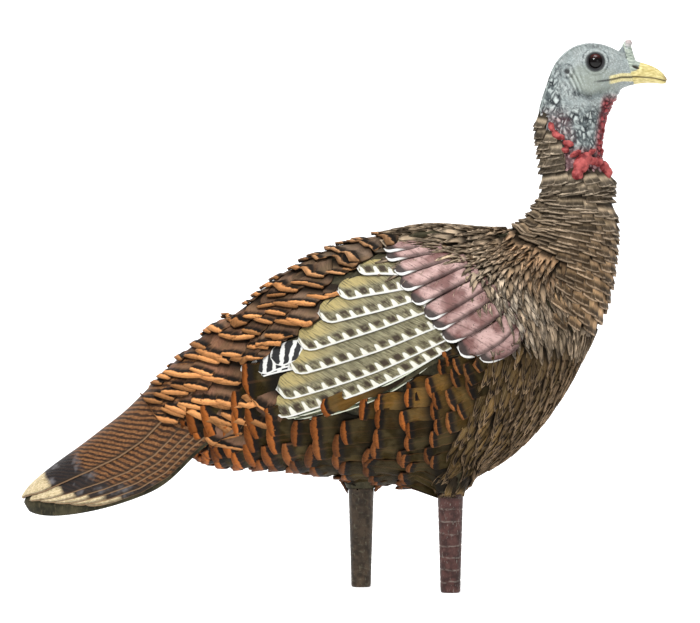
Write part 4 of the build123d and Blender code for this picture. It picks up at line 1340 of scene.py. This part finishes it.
def skin_relief(x, y, z):
    """Height of the skin's detail in millimetres, its 0 to 1 shade, and colour masks."""
    out_y = abs(y)
    eye = hypot(x - EYE[0], z - EYE[1])
    eye_ring = smooth(9, 12, out_y)
    ear = hypot(x - EAR[0], z - EAR[1])
    front = on_head_front(x, z)
    jaw = smooth(16, 8, distance_to_path([(238, 512), (262, 508)], x, z))
    nape = smooth(232, 208, x + 0.30 * (z - 500))
    crown = smooth(536, 545, z)
    low = smooth(492, 470, z)
    fold_lane = smooth(18, 7, distance_to_path([(228, 506), (234, 480), (243, 455)], x, z))
    smooth_face = max(0.8 * smooth(14, 10, eye), smooth(22, 10, hypot(x - 246, z - 509)),
                      0.7 * smooth(12, 7, hypot(x - 266, z - 522)))
    pebble_size = 5.6 + 1.8 * low + 0.8 * noise.noise(Vector((x, y, z)) * 0.05)
    wob = Vector((noise.noise(Vector((x, y, z)) * 0.12), noise.noise(Vector((z, x, y)) * 0.12), 0)) * 1.2
    pebbles = cell(x + wob.x, y + wob.y, z * 0.9 + wob.x, pebble_size)
    fine = cell(x * 1.0 + 40, y, z * 1.3, 2.6)
    amount = min(1.0,
                 max(nape, 0.55 * crown, 0.95 * low * (1 - 0.6 * front), 0.30)) * (1 - 0.90 * smooth_face)
    cross = (x - 228) * 0.93 + (z - 500) * 0.36 + 5.0 * noise.noise(Vector((x, y, z)) * 0.055)
    folds = 0.5 + 0.5 * sin(cross * 2 * pi / 5.4)
    lane = fold_lane * smooth(-0.25, 0.35, noise.noise(Vector((x * 0.08, y * 0.08, z * 0.03 + 7))))
    height = (0.3 + 0.6 * low) * amount * (pebbles - 0.4)
    height += 1.7 * lane * (folds - 0.5) * (1 - 0.5 * smooth_face)
    height += 0.30 * (fine - 0.5) * (1 - 0.75 * smooth_face)
    shade = 0.46 + 0.30 * (pebbles - 0.42) * amount + 0.34 * (folds - 0.5) * lane + 0.14 * (fine - 0.5)
    # brow, lids and the socket round the eye
    height += 0.35 * bump(eye, 11.4, 1.6) * eye_ring
    brow = 0.9 * bump(hypot(x - EYE[0], z - EYE[1] - 3), 13.5, 2.0)
    height += brow * smooth(EYE[1] + 5, EYE[1] + 11, z) * eye_ring
    height -= 0.6 * smooth(10.4, 8.6, eye) * eye_ring
    dark = smooth(10.4, 9.0, eye) * eye_ring
    shade -= 0.30 * bump(eye, 13.0, 1.4) * eye_ring * (0.4 + 0.6 * noise.noise(Vector((x, y, z)) * 0.3))
    # ear: a rim round a deep hole, painted dark inside as painted shade
    height += 0.6 * bump(ear, 5.0, 2.4) * smooth(8, 14, out_y)
    height -= 2.2 * smooth(3.4, 1.4, ear) * smooth(8, 14, out_y)
    dark = max(dark, 0.9 * smooth(3.4, 2.0, ear) * smooth(8, 14, out_y))
    shade -= 0.16 * bump(ear, 6.8, 1.8)
    # corner of the mouth and the yellow lip beside it, with its crease painted dark as painted shade
    lip = distance_to_path(MOUTH[:3], x, z) * smooth(2, 6, out_y + 4)
    horn = smooth(4.4, 3.2, lip) * smooth(263.5, 267, x)
    crease = smooth(1.3, 0.5, distance_to_path([(250, 507.5)] + MOUTH[:3], x, z)) * smooth(246, 258, x)
    height += 0.55 * horn - 0.9 * crease
    dark = max(dark, 0.8 * crease)
    shade -= 0.16 * smooth(7, 1, distance_to_path([(232, 497), (248, 494), (262, 499)], x, z))
    # throat band
    knobs = cell(x + wob.x, y * 1.1, z * 0.8 + wob.y, 4.4)
    height += front * (1.5 + 2.2 * (knobs - 0.4))
    shade = lerp(shade, 0.25 + 0.75 * knobs, front)
    red = front * smooth(500, 488, z)
    pinkish = 0.45 * smooth(0.4, 1.0, nape) * smooth(488, 468, z) * smooth(440, 455, z)
    pinkish *= 0.35 + 0.65 * (1 - pebbles)
    pinkish = max(pinkish, 0.7 * smooth(446, 436, z))
    pinkish *= 1 - front
    cheek = smooth(20, 9, hypot(x - 246, (z - 508) * 1.2))
    pale = max(0.8 * jaw, cheek) * (1 - front) * (1 - 0.5 * fine)
    return height, min(1.0, max(0.0, shade)), {"red": red, "pink": min(1.0, pinkish),
                                               "pale": min(1.0, pale),
                                               "dark": min(1.0, dark), "horn": min(1.0, horn),
                                               "pebble": max(nape, 0.95 * low, 0.2 * crown)
                                               * (1 - 0.9 * smooth_face)
                                               * (1 - front)}


def smooth_rings(surface, guides, stations, count):
    """Rings of places and normals sampled on the model, with the normals taken from the finished grid."""
    grid = []
    for s in stations:
        hits = ring_hits(surface, guides, s, count)
        if any(h is None for h in hits):
            raise RuntimeError(f"a ring at {s:.2f} misses the model")
        back, belly = (curve_point([g[k] for g in guides], s) for k in (0, 1))
        up = Vector((back[0] - belly[0], 0, back[1] - belly[1])).normalized()
        crest = (Vector((back[0], 0, back[1])).dot(up) + (0.5 if s > 7.6 and count > 150 else 20.0)) * MM
        grid.append([h[0] - up * max(0.0, h[0].dot(up) - crest) for h in hits])
    for _ in range(2):
        new = []
        for r, line in enumerate(grid):
            up, down = grid[max(r - 1, 0)], grid[min(r + 1, len(grid) - 1)]
            inner = 0 < r < len(grid) - 1
            new.append([(p * 2 + line[k - 1] + line[(k + 1) % count] + up[k] + down[k]) / 6 if inner else p
                        for k, p in enumerate(line)])
        grid = new
    normals = []
    for r, line in enumerate(grid):
        up, down = grid[max(r - 1, 0)], grid[min(r + 1, len(grid) - 1)]
        middle = sum(line, Vector()) / count
        row = []
        for k, p in enumerate(line):
            normal = (line[(k + 1) % count] - line[k - 1]).cross(down[k] - up[k]).normalized()
            if normal.dot(p - middle) < 0:
                normal.negate()
            row.append(normal)
        normals.append(row)
    return grid, normals


def closed_rings(name, grid, values):
    """A closed mesh of rings with a fan at each end."""
    count = len(grid[0])
    verts = [p for line in grid for p in line]
    faces = []
    for r in range(len(grid) - 1):
        for k in range(count):
            n = (k + 1) % count
            a, b = r * count, (r + 1) * count
            faces.append((a + k, a + n, b + n, b + k))
    for r, turn in ((0, 1), (len(grid) - 1, -1)):
        tip = len(verts)
        verts.append(sum(grid[r], Vector()) / count)
        for key in values:
            values[key].append(values[key][r * count])
        for k in range(count):
            n = (k + 1) % count
            faces.append((r * count + k, r * count + n, tip)[::turn])
    piece = new_mesh(name, verts, faces, values)
    outward(piece)
    return piece


def make_head_skin():
    """The wrinkled head skin over the model's head."""
    surface = Surface("head_shell", "bill")
    stations = [0.02 + 9.96 * k / 210 for k in range(211)]
    grid, normals = smooth_rings(surface, HEAD_GUIDES, stations, 176)
    values = {k: [] for k in ("relief", "red", "pink", "pale", "dark", "horn", "pebble")}
    for r, (line, directions) in enumerate(zip(grid, normals)):
        for k, (p, normal) in enumerate(zip(line, directions)):
            x, y, z = p / MM
            height, shade, masks = skin_relief(x, y, z)
            fade = smooth(0, 6, r) * smooth(210, 205, r)
            line[k] = p + normal * (0.85 + max(-0.65, height * fade)) * MM
            # the relief attribute carries the painted shade of the crevices and tops
            values["relief"].append(shade)
            for key, value in masks.items():
                values[key].append(value)
    settle(closed_rings("head_skin", grid, values), "head", "head_vinyl", skin_material())


def make_bill_detail():
    """The bill with its mouth line, nostril and horny edge."""
    surface = Surface("bill", "head_shell")
    stations = [3.96 * k / 110 for k in range(111)]
    grid, normals = smooth_rings(surface, BILL_GUIDES, stations, 120)
    values = {k: [] for k in ("skin", "end", "dark")}
    for r, (line, directions) in enumerate(zip(grid, normals)):
        for k, (p, normal) in enumerate(zip(line, directions)):
            x, y, z = p / MM
            mouth = distance_to_path(MOUTH, x, z)
            side = smooth(0.5, 2.0, abs(y))
            groove = smooth(1.15, 0.35, mouth) * side
            nostril = hypot((x - NOSTRIL[0]) * 0.94 + (z - NOSTRIL[1]) * -0.34,
                            ((z - NOSTRIL[1]) * 0.94 + (x - NOSTRIL[0]) * 0.34) * 2.6)
            hole = smooth(4.6, 3.0, nostril) * side
            rim = bump(nostril, 6.6, 2.4) * side
            lip = bump(mouth, 2.4, 1.4) * side
            height = 0.45 - 1.1 * groove - 1.6 * hole + 0.55 * rim + 0.30 * lip
            height += 0.5 * smooth(296, 288, x) * smooth(515, 520, z)
            line[k] = p + normal * height * MM
            edge = 512.8 + 0.28 * max(0.0, x - 270) + 9.0 * smooth(292, 299, x)
            values["skin"].append(smooth(300.5, 298.0, x) * smooth(-0.8, 1.2, z - edge))
            values["end"].append(smooth(317, 323, x) * smooth(508, 512, z) + 0.5 * smooth(320, 324, x))
            # the mouth line and the nostril are painted dark as painted shade
            values["dark"].append(min(1.0, max(0.75 * smooth(1.0, 0.3, mouth) * side,
                                               0.95 * smooth(4.4, 3.4, nostril) * side)))
    piece = closed_rings("bill_detail", grid, values)
    settle(piece, "head", "bill_plastic", bill_material())
    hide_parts("bill")


def blob(verts, faces, centre, axes, segments=20):
    """Adds an ellipsoid; axes are three vectors with its half sizes."""
    base, rings = len(verts), segments // 2
    verts.append(centre + axes[2])
    for r in range(1, rings):
        v = pi * r / rings
        for k in range(segments):
            u = 2 * pi * k / segments
            verts.append(centre + axes[0] * (sin(v) * cos(u)) + axes[1] * (sin(v) * sin(u)) + axes[2]
                         * cos(v))
    verts.append(centre - axes[2])
    last = len(verts) - 1
    for k in range(segments):
        n = (k + 1) % segments
        faces.append((base, base + 1 + k, base + 1 + n))
        faces.append((last, last - segments + n, last - segments + k))
        for r in range(rings - 2):
            a, b = base + 1 + r * segments, base + 1 + (r + 1) * segments
            faces.append((a + k, b + k, b + n, a + n))


def melt(piece, voxel, rounds=6):
    """Joins overlapping lumps into one skin and softens it."""
    remesh = piece.modifiers.new("join", "REMESH")
    remesh.mode, remesh.voxel_size = "VOXEL", voxel
    soften = piece.modifiers.new("soften", "SMOOTH")
    soften.factor, soften.iterations = 0.6, rounds
    bpy.context.view_layer.update()
    evaluated = piece.evaluated_get(bpy.context.evaluated_depsgraph_get())
    mesh = bpy.data.meshes.new_from_object(evaluated)
    old = piece.data
    piece.modifiers.clear()
    piece.data = mesh
    bpy.data.meshes.remove(old)
    mesh.name = piece.name
    mesh.shade_smooth()


def make_wattles():
    """The wattles and the small red lobes on both sides of the neck."""
    surface = Surface("head_shell")
    verts, faces, hearts = [], [], []
    for side in (-1, 1):
        for x, z, long_half, short_half, height, tilt, heat in LOBES:
            hit = surface.from_side(side, x, z)
            if hit is None:
                hit = surface.from_side(side, x - 3, z)
            place, normal = hit[0], hit[1]
            upright = Vector((sin(radians(tilt)), 0, cos(radians(tilt))))
            upright = (upright - normal * upright.dot(normal)).normalized()
            across = upright.cross(normal)
            centre = place + normal * height * 0.45 * MM
            blob(verts, faces, centre,
                 (across * short_half * MM, upright * long_half * MM, normal * height * MM))
            hearts.append((centre, heat, long_half * MM))
    piece = new_mesh("wattles", verts, faces)
    melt(piece, 0.0008, 4)
    heat_values = []
    for vert in piece.data.vertices:
        lump = noise.noise(vert.co * 320.0)
        vert.co += vert.normal * 0.0007 * lump
        near = sorted((((vert.co - c).length / reach), heat) for c, heat, reach in hearts)[:2]
        heat_values.append(near[0][1] * 0.8 + near[1][1] * 0.2)
    attr = piece.data.attributes.new("heat", "FLOAT", "POINT")
    attr.data.foreach_set("value", heat_values)
    settle(piece, "head", "head_vinyl", wattle_material())


def make_snood():
    """The small fleshy finger above the bill."""
    verts, faces = [], []
    path = [(278.0, 532.0, 5.6), (279.2, 535.0, 5.0), (280.4, 538.0, 4.4), (281.8, 541.0, 4.0),
            (283.2, 544.0, 3.8),
            (284.6, 546.6, 3.7), (274.5, 534.0, 4.4)]
    for x, z, radius in path:
        axes = tuple(Vector(v) * radius * MM for v in ((1, 0, 0), (0, 0.95, 0), (0, 0, 1)))
        blob(verts, faces, Vector((x, 0, z)) * MM, axes)
    piece = new_mesh("snood", verts, faces)
    melt(piece, 0.0006, 5)
    values = {k: [] for k in ("relief", "red", "pink", "pale", "dark", "horn")}
    for vert in piece.data.vertices:
        x, y, z = vert.co / MM
        wrinkle = 0.5 + 0.5 * sin(z * 2 * pi / 2.6 + 2 * noise.noise(vert.co * 200))
        vert.co += vert.normal * 0.00035 * (wrinkle - 0.5)
        values["relief"].append(0.35 + 0.3 * wrinkle * smooth(534, 540, z) + 0.2 * smooth(538, 548, z))
        values["pink"].append(0.35 * smooth(540, 549, z))
        for key in ("red", "dark", "horn"):
            values[key].append(0.0)
        values["pale"].append(0.2 * smooth(538, 546, z))
    for key, data in values.items():
        attr = piece.data.attributes.new(key, "FLOAT", "POINT")
        attr.data.foreach_set("value", data)
    settle(piece, "head", "head_vinyl", bpy.data.materials["head_skin_paint"])


def make_eyes():
    """Glossy eyes in soft ringed lids."""
    gloss = eye_material()
    skin = Surface("head_shell")
    for side_name, side in SIDES.items():
        set_node_material(f"{side_name}_eye", gloss)
        low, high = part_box(f"{side_name}_eye")
        centre = Vector(((low[0] + high[0]) / 2, side * max(abs(low[1]), abs(high[1])),
                         (low[2] + high[2]) / 2))
        verts, faces = [], []
        values = {k: [] for k in ("relief", "red", "pink", "pale", "dark", "horn")}
        around, section = 64, 14
        for k in range(around):
            a = 2 * pi * k / around
            upper = smooth(-0.1, 0.7, sin(a))
            radius = 8.0 + 0.5 * upper
            wide, tall = 1.5 + 0.35 * upper, 1.3
            depth = abs(centre.y) / MM - abs(skin.from_side(side, centre.x / MM + 9.0 * cos(a),
                                                            centre.z / MM
                                                            + 9.0 * sin(a))[0].y) / MM - 0.7
            for j in range(section):
                b = 2 * pi * j / section
                r = radius + wide * cos(b)
                verts.append(centre + Vector((r * cos(a), side * (-depth + tall * sin(b)), r * sin(a)))
                             * MM)
                values["relief"].append(0.25 + 0.25 * max(0.0, cos(b)))
                values["dark"].append(0.92 - 0.25 * max(0.0, cos(b)))
                values["red"].append(0.35 * upper * smooth(0.4, -0.4, cos(b)))
                for key in ("pink", "pale", "horn"):
                    values[key].append(0.0)
                n, m = (k + 1) % around, (j + 1) % section
                faces.append((k * section + j, k * section + m, n * section + m, n * section + j))
        piece = new_mesh(f"{side_name}_eyelids", verts, faces, values)
        outward(piece)
        settle(piece, "head", "head_vinyl", bpy.data.materials["head_skin_paint"])


# ---- Legs ----
def make_leg_skin(side_name):
    """A leg's moulded scutes: a thin closed sleeve over the model's leg."""
    low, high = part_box(f"{side_name}_stake_sleeve")
    cx, cy = (low[0] + high[0]) / 2 / MM, (low[1] + high[1]) / 2 / MM
    around, steps = 72, 130
    bore = (high[0] - low[0]) / 2 / MM + 0.35
    near = side_name == "right"
    grid, values = [], {"line": []}
    for j in range(steps + 1):
        z = 99.6 * j / steps
        radius = 9.5 + 3.0 * z / 100 + 0.30
        line = []
        for k in range(around):
            a = 2 * pi * k / around
            wave = 1.5 * noise.noise(Vector((cos(a) * 1.4, sin(a) * 1.4, z * 0.05)))
            if near:
                phase = (z + wave + 1.2 * abs(sin(a))) % 12.0
                cut = smooth(0.9, 0.25, min(phase, 12.0 - phase))
            else:
                phase = (z * 0.7 + 8.0 * a / pi + wave * 2) % 5.3
                cut = 0.75 * smooth(0.8, 0.2, min(phase, 5.3 - phase)) * smooth(-0.1, 0.3,
                                                                                noise.noise(Vector((a * 2,
                                                                                                    z * 0.08, 3))))
            rough = 0.18 * noise.noise(Vector((cos(a) * 6, sin(a) * 6, z * 0.35)))
            edge = 1.5 * smooth(1.8, 0.0, z) ** 2
            r = radius - 0.30 * cut + rough - edge
            line.append(Vector((cx + r * cos(a), cy + r * sin(a), z + 0.02)) * MM)
            values["line"].append(cut)
        grid.append(line)
    for r, z in ((bore, 0.0), (bore, 0.6)):
        grid.insert(0,
                    [Vector((cx + r * cos(2 * pi * k / around), cy + r * sin(2 * pi * k / around), z)) * MM
                        for k in range(around)])
        values["line"] = [0.0] * around + values["line"]
    count = around
    verts = [p for line in grid for p in line]
    faces = []
    total = len(grid)
    for r in range(total):
        q = (r + 1) % total
        for k in range(count):
            n = (k + 1) % count
            faces.append((r * count + k, r * count + n, q * count + n, q * count + k))
    piece = new_mesh(f"{side_name}_leg_scutes", verts, faces, values)
    outward(piece)
    # the far leg's pale colour is painted darker than the near leg's, as painted shade
    base, light = ((0.060, 0.026, 0.022), (0.30, 0.27, 0.23)) if near else ((0.055, 0.038, 0.024),
                                                                            (0.20, 0.19, 0.13))
    material = leg_material(f"{side_name}_leg_finish", base, light)
    settle(piece, f"{side_name}_leg", "leg_plastic", material)
    set_node_material(f"{side_name}_leg", material)


# ---- Operators ----
class CoatSettings(bpy.types.PropertyGroup):
    """Sizes of the feather coat."""
    length: bpy.props.FloatProperty(name="Feather length", description="Scale of every feather's length",
                                    default=1.0, min=0.5, max=1.5)
    width: bpy.props.FloatProperty(name="Feather width", description="Scale of every feather's width",
                                   default=1.0, min=0.5, max=1.5)
    turn: bpy.props.FloatProperty(name="Turn jitter", description="How far feathers swing at random",
                                  default=radians(8), subtype="ANGLE")
    size: bpy.props.FloatProperty(name="Size jitter", description="How much feathers differ in size",
                                  default=0.16, subtype="FACTOR")
    seed: bpy.props.IntProperty(name="Seed", description="Seed of the random draws", default=7)


class StageSettings(bpy.types.PropertyGroup):
    """The floor, lights and camera."""
    floor: bpy.props.FloatVectorProperty(name="Floor colour", description="Colour of the floor", size=3,
                                         default=(0.70, 0.70, 0.70), subtype="COLOR")
    glow: bpy.props.FloatProperty(name="Floor glow", description="Light the backdrop gives off",
                                  default=0.75)
    fill: bpy.props.FloatProperty(name="Fill light", description="Strength of the even light all round",
                                  default=0.20)
    distance: bpy.props.FloatProperty(name="Camera distance", description="From the bird to the camera",
                                      default=6.0, unit="LENGTH")
    frame_width: bpy.props.FloatProperty(name="Frame width", description="Width seen at the bird",
                                         default=0.700, unit="LENGTH")


def coat_inputs():
    """The tree's settings from the property group."""
    coat = bpy.context.scene.decoy_coat
    return {"Length Scale": coat.length, "Width Scale": coat.width, "Turn Jitter": coat.turn,
            "Size Jitter": coat.size, "Seed": coat.seed}


class DECOY_OT_coat(bpy.types.Operator):
    """Lays the body's feathers in rows from the neck to the tail"""
    bl_idname = "decoy.coat"
    bl_label = "Body coat"

    def execute(self, context):
        surface = Surface("body_shell", "right_wing", "left_wing", "tail_fan")
        form = make_form("coat_form", surface, BODY_GUIDES, 0.0, len(BODY_GUIDES) - 1.01)
        pitches = [(0, 0.34), (1, 0.30), (3, 0.28), (5, 0.30), (7, 0.30), (9, 0.28), (11, 0.29), (15, 0.30)]
        stations = row_stations(0.02, len(BODY_GUIDES) - 1.15, pitches)
        roots = [r for r in plant_rows(surface, BODY_GUIDES, stations, coat_look, 3)
                 if r["zone"] != "flank"]
        wide = row_stations(2.4, len(BODY_GUIDES) - 1.15, [(2, 0.34), (5, 0.40), (9, 0.54), (15, 0.56)])
        roots += [r for r in plant_rows(surface, BODY_GUIDES, wide, flank_look, 5) if r["zone"] == "flank"]
        material = coat_material()
        shapes = {
            "neck": feather_template("neck_feather", 6, 6, 0.06, 0.90, 0.50, 0.10),
            "mantle": feather_template("mantle_feather", 4, 7, 0.50, 0.60, 0.45, 0.0, 0.35),
            "breast": feather_template("breast_feather", 4, 7, 0.40, 0.62, 0.50, 0.0, 0.25),
            "back": feather_template("back_feather", 8, 9, 0.05, 0.60, 0.44, 0.30, 0.08),
            "coverts": feather_template("covert_feather", 8, 9, 0.05, 0.60, 0.44, 0.30, 0.08),
            "flank": feather_template("flank_feather", 8, 9, 0.06, 0.60, 0.40, 0.32, 0.10),
        }
        for zone, template in shapes.items():
            chosen = [r for r in roots if r["zone"] == zone]
            settings = coat_inputs()
            if zone == "neck":
                settings["Turn Jitter"] *= 0.4
            grow_feathers(f"{zone}_feathers", chosen, template, form, material, "body", "body_plastic",
                          **settings)
        discard(form, *shapes.values())
        return {"FINISHED"}


class DECOY_OT_head_coat(bpy.types.Operator):
    """Lays the rings of feathers on the upper neck, which turn with the head"""
    bl_idname = "decoy.head_coat"
    bl_label = "Upper neck feathers"

    def execute(self, context):
        surface = Surface("head_shell")
        guides = [HEAD_GUIDES[k] for k in range(5, -1, -1)] + [((200.5, 392), (266.5, 392))]
        surface_all = Surface("head_shell")
        form = make_form("neck_form", surface_all, guides, 0.0, len(guides) - 1.01)

        def look(place, normal, node, pitch):
            x, y, z = place
            edge = 488 - (x - 196) * 2.1
            if z > max(edge, 425 if x > 232 else 0) or z < 403.5:
                return None
            chosen = neck_look(place, normal, node, pitch)
            chosen["feather_length"] = min(chosen["feather_length"], (z - 394.5) * MM)
            return chosen

        stations = row_stations(0.05, 4.98, [(0, 0.46), (2, 0.46), (3, 0.40), (4, 0.30), (5, 0.30)])
        roots = plant_rows(surface, guides[:-1], stations, look, 4)
        template = feather_template("upper_neck_feather", 6, 6, 0.06, 0.90, 0.50, 0.10)
        settings = coat_inputs()
        settings["Turn Jitter"] *= 0.4
        grow_feathers("upper_neck_feathers", roots, template, form, bpy.data.materials["coat_paint"],
                      "head",
                      "head_vinyl", **settings)
        discard(form, template)
        return {"FINISHED"}


class DECOY_OT_wings(bpy.types.Operator):
    """Makes the folded wings feather by feather"""
    bl_idname = "decoy.wings"
    bl_label = "Wings"

    def execute(self, context):
        for side_name in SIDES:
            make_wing_feathers(side_name)
        return {"FINISHED"}


class DECOY_OT_tail(bpy.types.Operator):
    """Makes the long tail feathers"""
    bl_idname = "decoy.tail"
    bl_label = "Tail"

    def execute(self, context):
        make_tail_feathers()
        return {"FINISHED"}


class DECOY_OT_head(bpy.types.Operator):
    """Makes the head's skin, bill, snood, eyes and wattles"""
    bl_idname = "decoy.head"
    bl_label = "Head"

    def execute(self, context):
        make_head_skin()
        make_bill_detail()
        make_snood()
        make_eyes()
        make_wattles()
        return {"FINISHED"}


class DECOY_OT_legs(bpy.types.Operator):
    """Makes the scutes on the legs"""
    bl_idname = "decoy.legs"
    bl_label = "Legs"

    def execute(self, context):
        for side_name in SIDES:
            make_leg_skin(side_name)
        return {"FINISHED"}


class DECOY_OT_model_finishes(bpy.types.Operator):
    """Gives the model's own visible nodes their finishes"""
    bl_idname = "decoy.model_finishes"
    bl_label = "Model finishes"

    def execute(self, context):
        ground, nylon = ground_material(), nylon_material()
        steel, rubber = steel_material(), rubber_material()
        finishes = {ground: ["body_shell", "right_wing", "left_wing", "tail_fan"],
                    nylon: ["neck_collar", "swivel_cup", "head_plug", "right_leg_socket",
                            "left_leg_socket"],
                    steel: ["tail_screws", "neck_collar_screws", "head_plug_screws", "swivel_clip",
                            "right_stake_sleeve", "left_stake_sleeve"],
                    rubber: ["head_ring", "right_leg_ring", "left_leg_ring"]}
        for material, nodes in finishes.items():
            for node in nodes:
                set_node_material(node, material)
        set_node_material("head_shell", plain_skin_material())
        return {"FINISHED"}


class DECOY_OT_stage(bpy.types.Operator):
    """Sets up the floor, the soft lights and the camera"""
    bl_idname = "decoy.stage"
    bl_label = "Stage"

    def execute(self, context):
        stage = context.scene.decoy_stage
        # a floor that sweeps up into a backdrop
        profile = [(-7.0, 0.0), (1.2, 0.0)]
        profile += [(1.2 + 1.5 * sin(radians(a)), 1.5 - 1.5 * cos(radians(a))) for a in range(10, 91, 10)]
        profile += [(2.7, 5.0)]
        verts = [(x, y, z) for y, z in profile for x in (-6.0, 6.0)]
        floor = new_mesh("floor", verts,
                         [(2 * k, 2 * k + 1, 2 * k + 3, 2 * k + 2) for k in range(len(profile) - 1)])
        p = Paint("studio_floor")
        floor.data.materials.append(p.finish(tuple(stage.floor), 0.9, Specular_IOR_Level=0.0,
                                             Emission_Color=(1.0, 1.0, 1.0), Emission_Strength=stage.glow))
        world = context.scene.world or bpy.data.worlds.new("studio")
        context.scene.world = world
        world.use_nodes = True
        background = world.node_tree.nodes["Background"]
        background.inputs["Color"].default_value = (1.0, 1.0, 1.0, 1.0)
        background.inputs["Strength"].default_value = stage.fill
        for name, place, size, power in (("key", (-0.7, -1.9, 2.4), 0.7, 80.0),
                                         ("front", (1.8, -2.6, 1.2), 1.2, 10.0),
                                         ("top", (0.3, -0.2, 2.8), 1.2, 45.0)):
            data = bpy.data.lights.new(name, "AREA")
            data.size, data.energy = size, power
            light = bpy.data.objects.new(name, data)
            light.location = place
            light.rotation_euler = (Vector((0, 0, 0.3)) - Vector(place)).to_track_quat("-Z", "Y").to_euler()
            context.scene.collection.objects.link(light)
        target = Vector((0.0065, 0.0, 0.2785))
        camera_data = bpy.data.cameras.new("camera")
        camera_data.sensor_width = 36.0
        camera_data.lens = 36.0 * stage.distance / stage.frame_width
        camera_data.clip_end = 100.0
        camera = bpy.data.objects.new("camera", camera_data)
        azimuth, elevation = radians(1.0), radians(1.2)
        away = Vector((sin(azimuth) * cos(elevation), -cos(azimuth) * cos(elevation), sin(elevation)))
        camera.location = target + away * stage.distance
        camera.rotation_euler = (-away).to_track_quat("-Z", "Y").to_euler()
        context.scene.collection.objects.link(camera)
        context.scene.camera = camera
        context.scene.view_settings.view_transform = "Standard"
        return {"FINISHED"}


class DECOY_PT_panel(bpy.types.Panel):
    """Lists the decoy's sizes and steps"""
    bl_label = "Turkey decoy"
    bl_idname = "DECOY_PT_panel"
    bl_space_type = "VIEW_3D"
    bl_region_type = "UI"
    bl_category = "Decoy"

    def draw(self, context):
        for group in (context.scene.decoy_coat, context.scene.decoy_stage):
            for key in group.bl_rna.properties.keys():
                if key not in ("rna_type", "name"):
                    self.layout.prop(group, key)
        for step in STEPS:
            self.layout.operator(step.bl_idname)


STEPS = (DECOY_OT_model_finishes, DECOY_OT_coat, DECOY_OT_head_coat, DECOY_OT_wings, DECOY_OT_tail,
         DECOY_OT_head,
         DECOY_OT_legs, DECOY_OT_stage)
CLASSES = (CoatSettings, StageSettings, *STEPS, DECOY_PT_panel)


def register():
    for item in CLASSES:
        bpy.utils.register_class(item)
    bpy.types.Scene.decoy_coat = bpy.props.PointerProperty(type=CoatSettings)
    bpy.types.Scene.decoy_stage = bpy.props.PointerProperty(type=StageSettings)


def unregister():
    del bpy.types.Scene.decoy_coat
    del bpy.types.Scene.decoy_stage
    for item in reversed(CLASSES):
        bpy.utils.unregister_class(item)


def main():
    register()
    for step in STEPS:
        group, name = step.bl_idname.split(".")
        getattr(getattr(bpy.ops, group), name)()


if __name__ == "__main__":
    main()
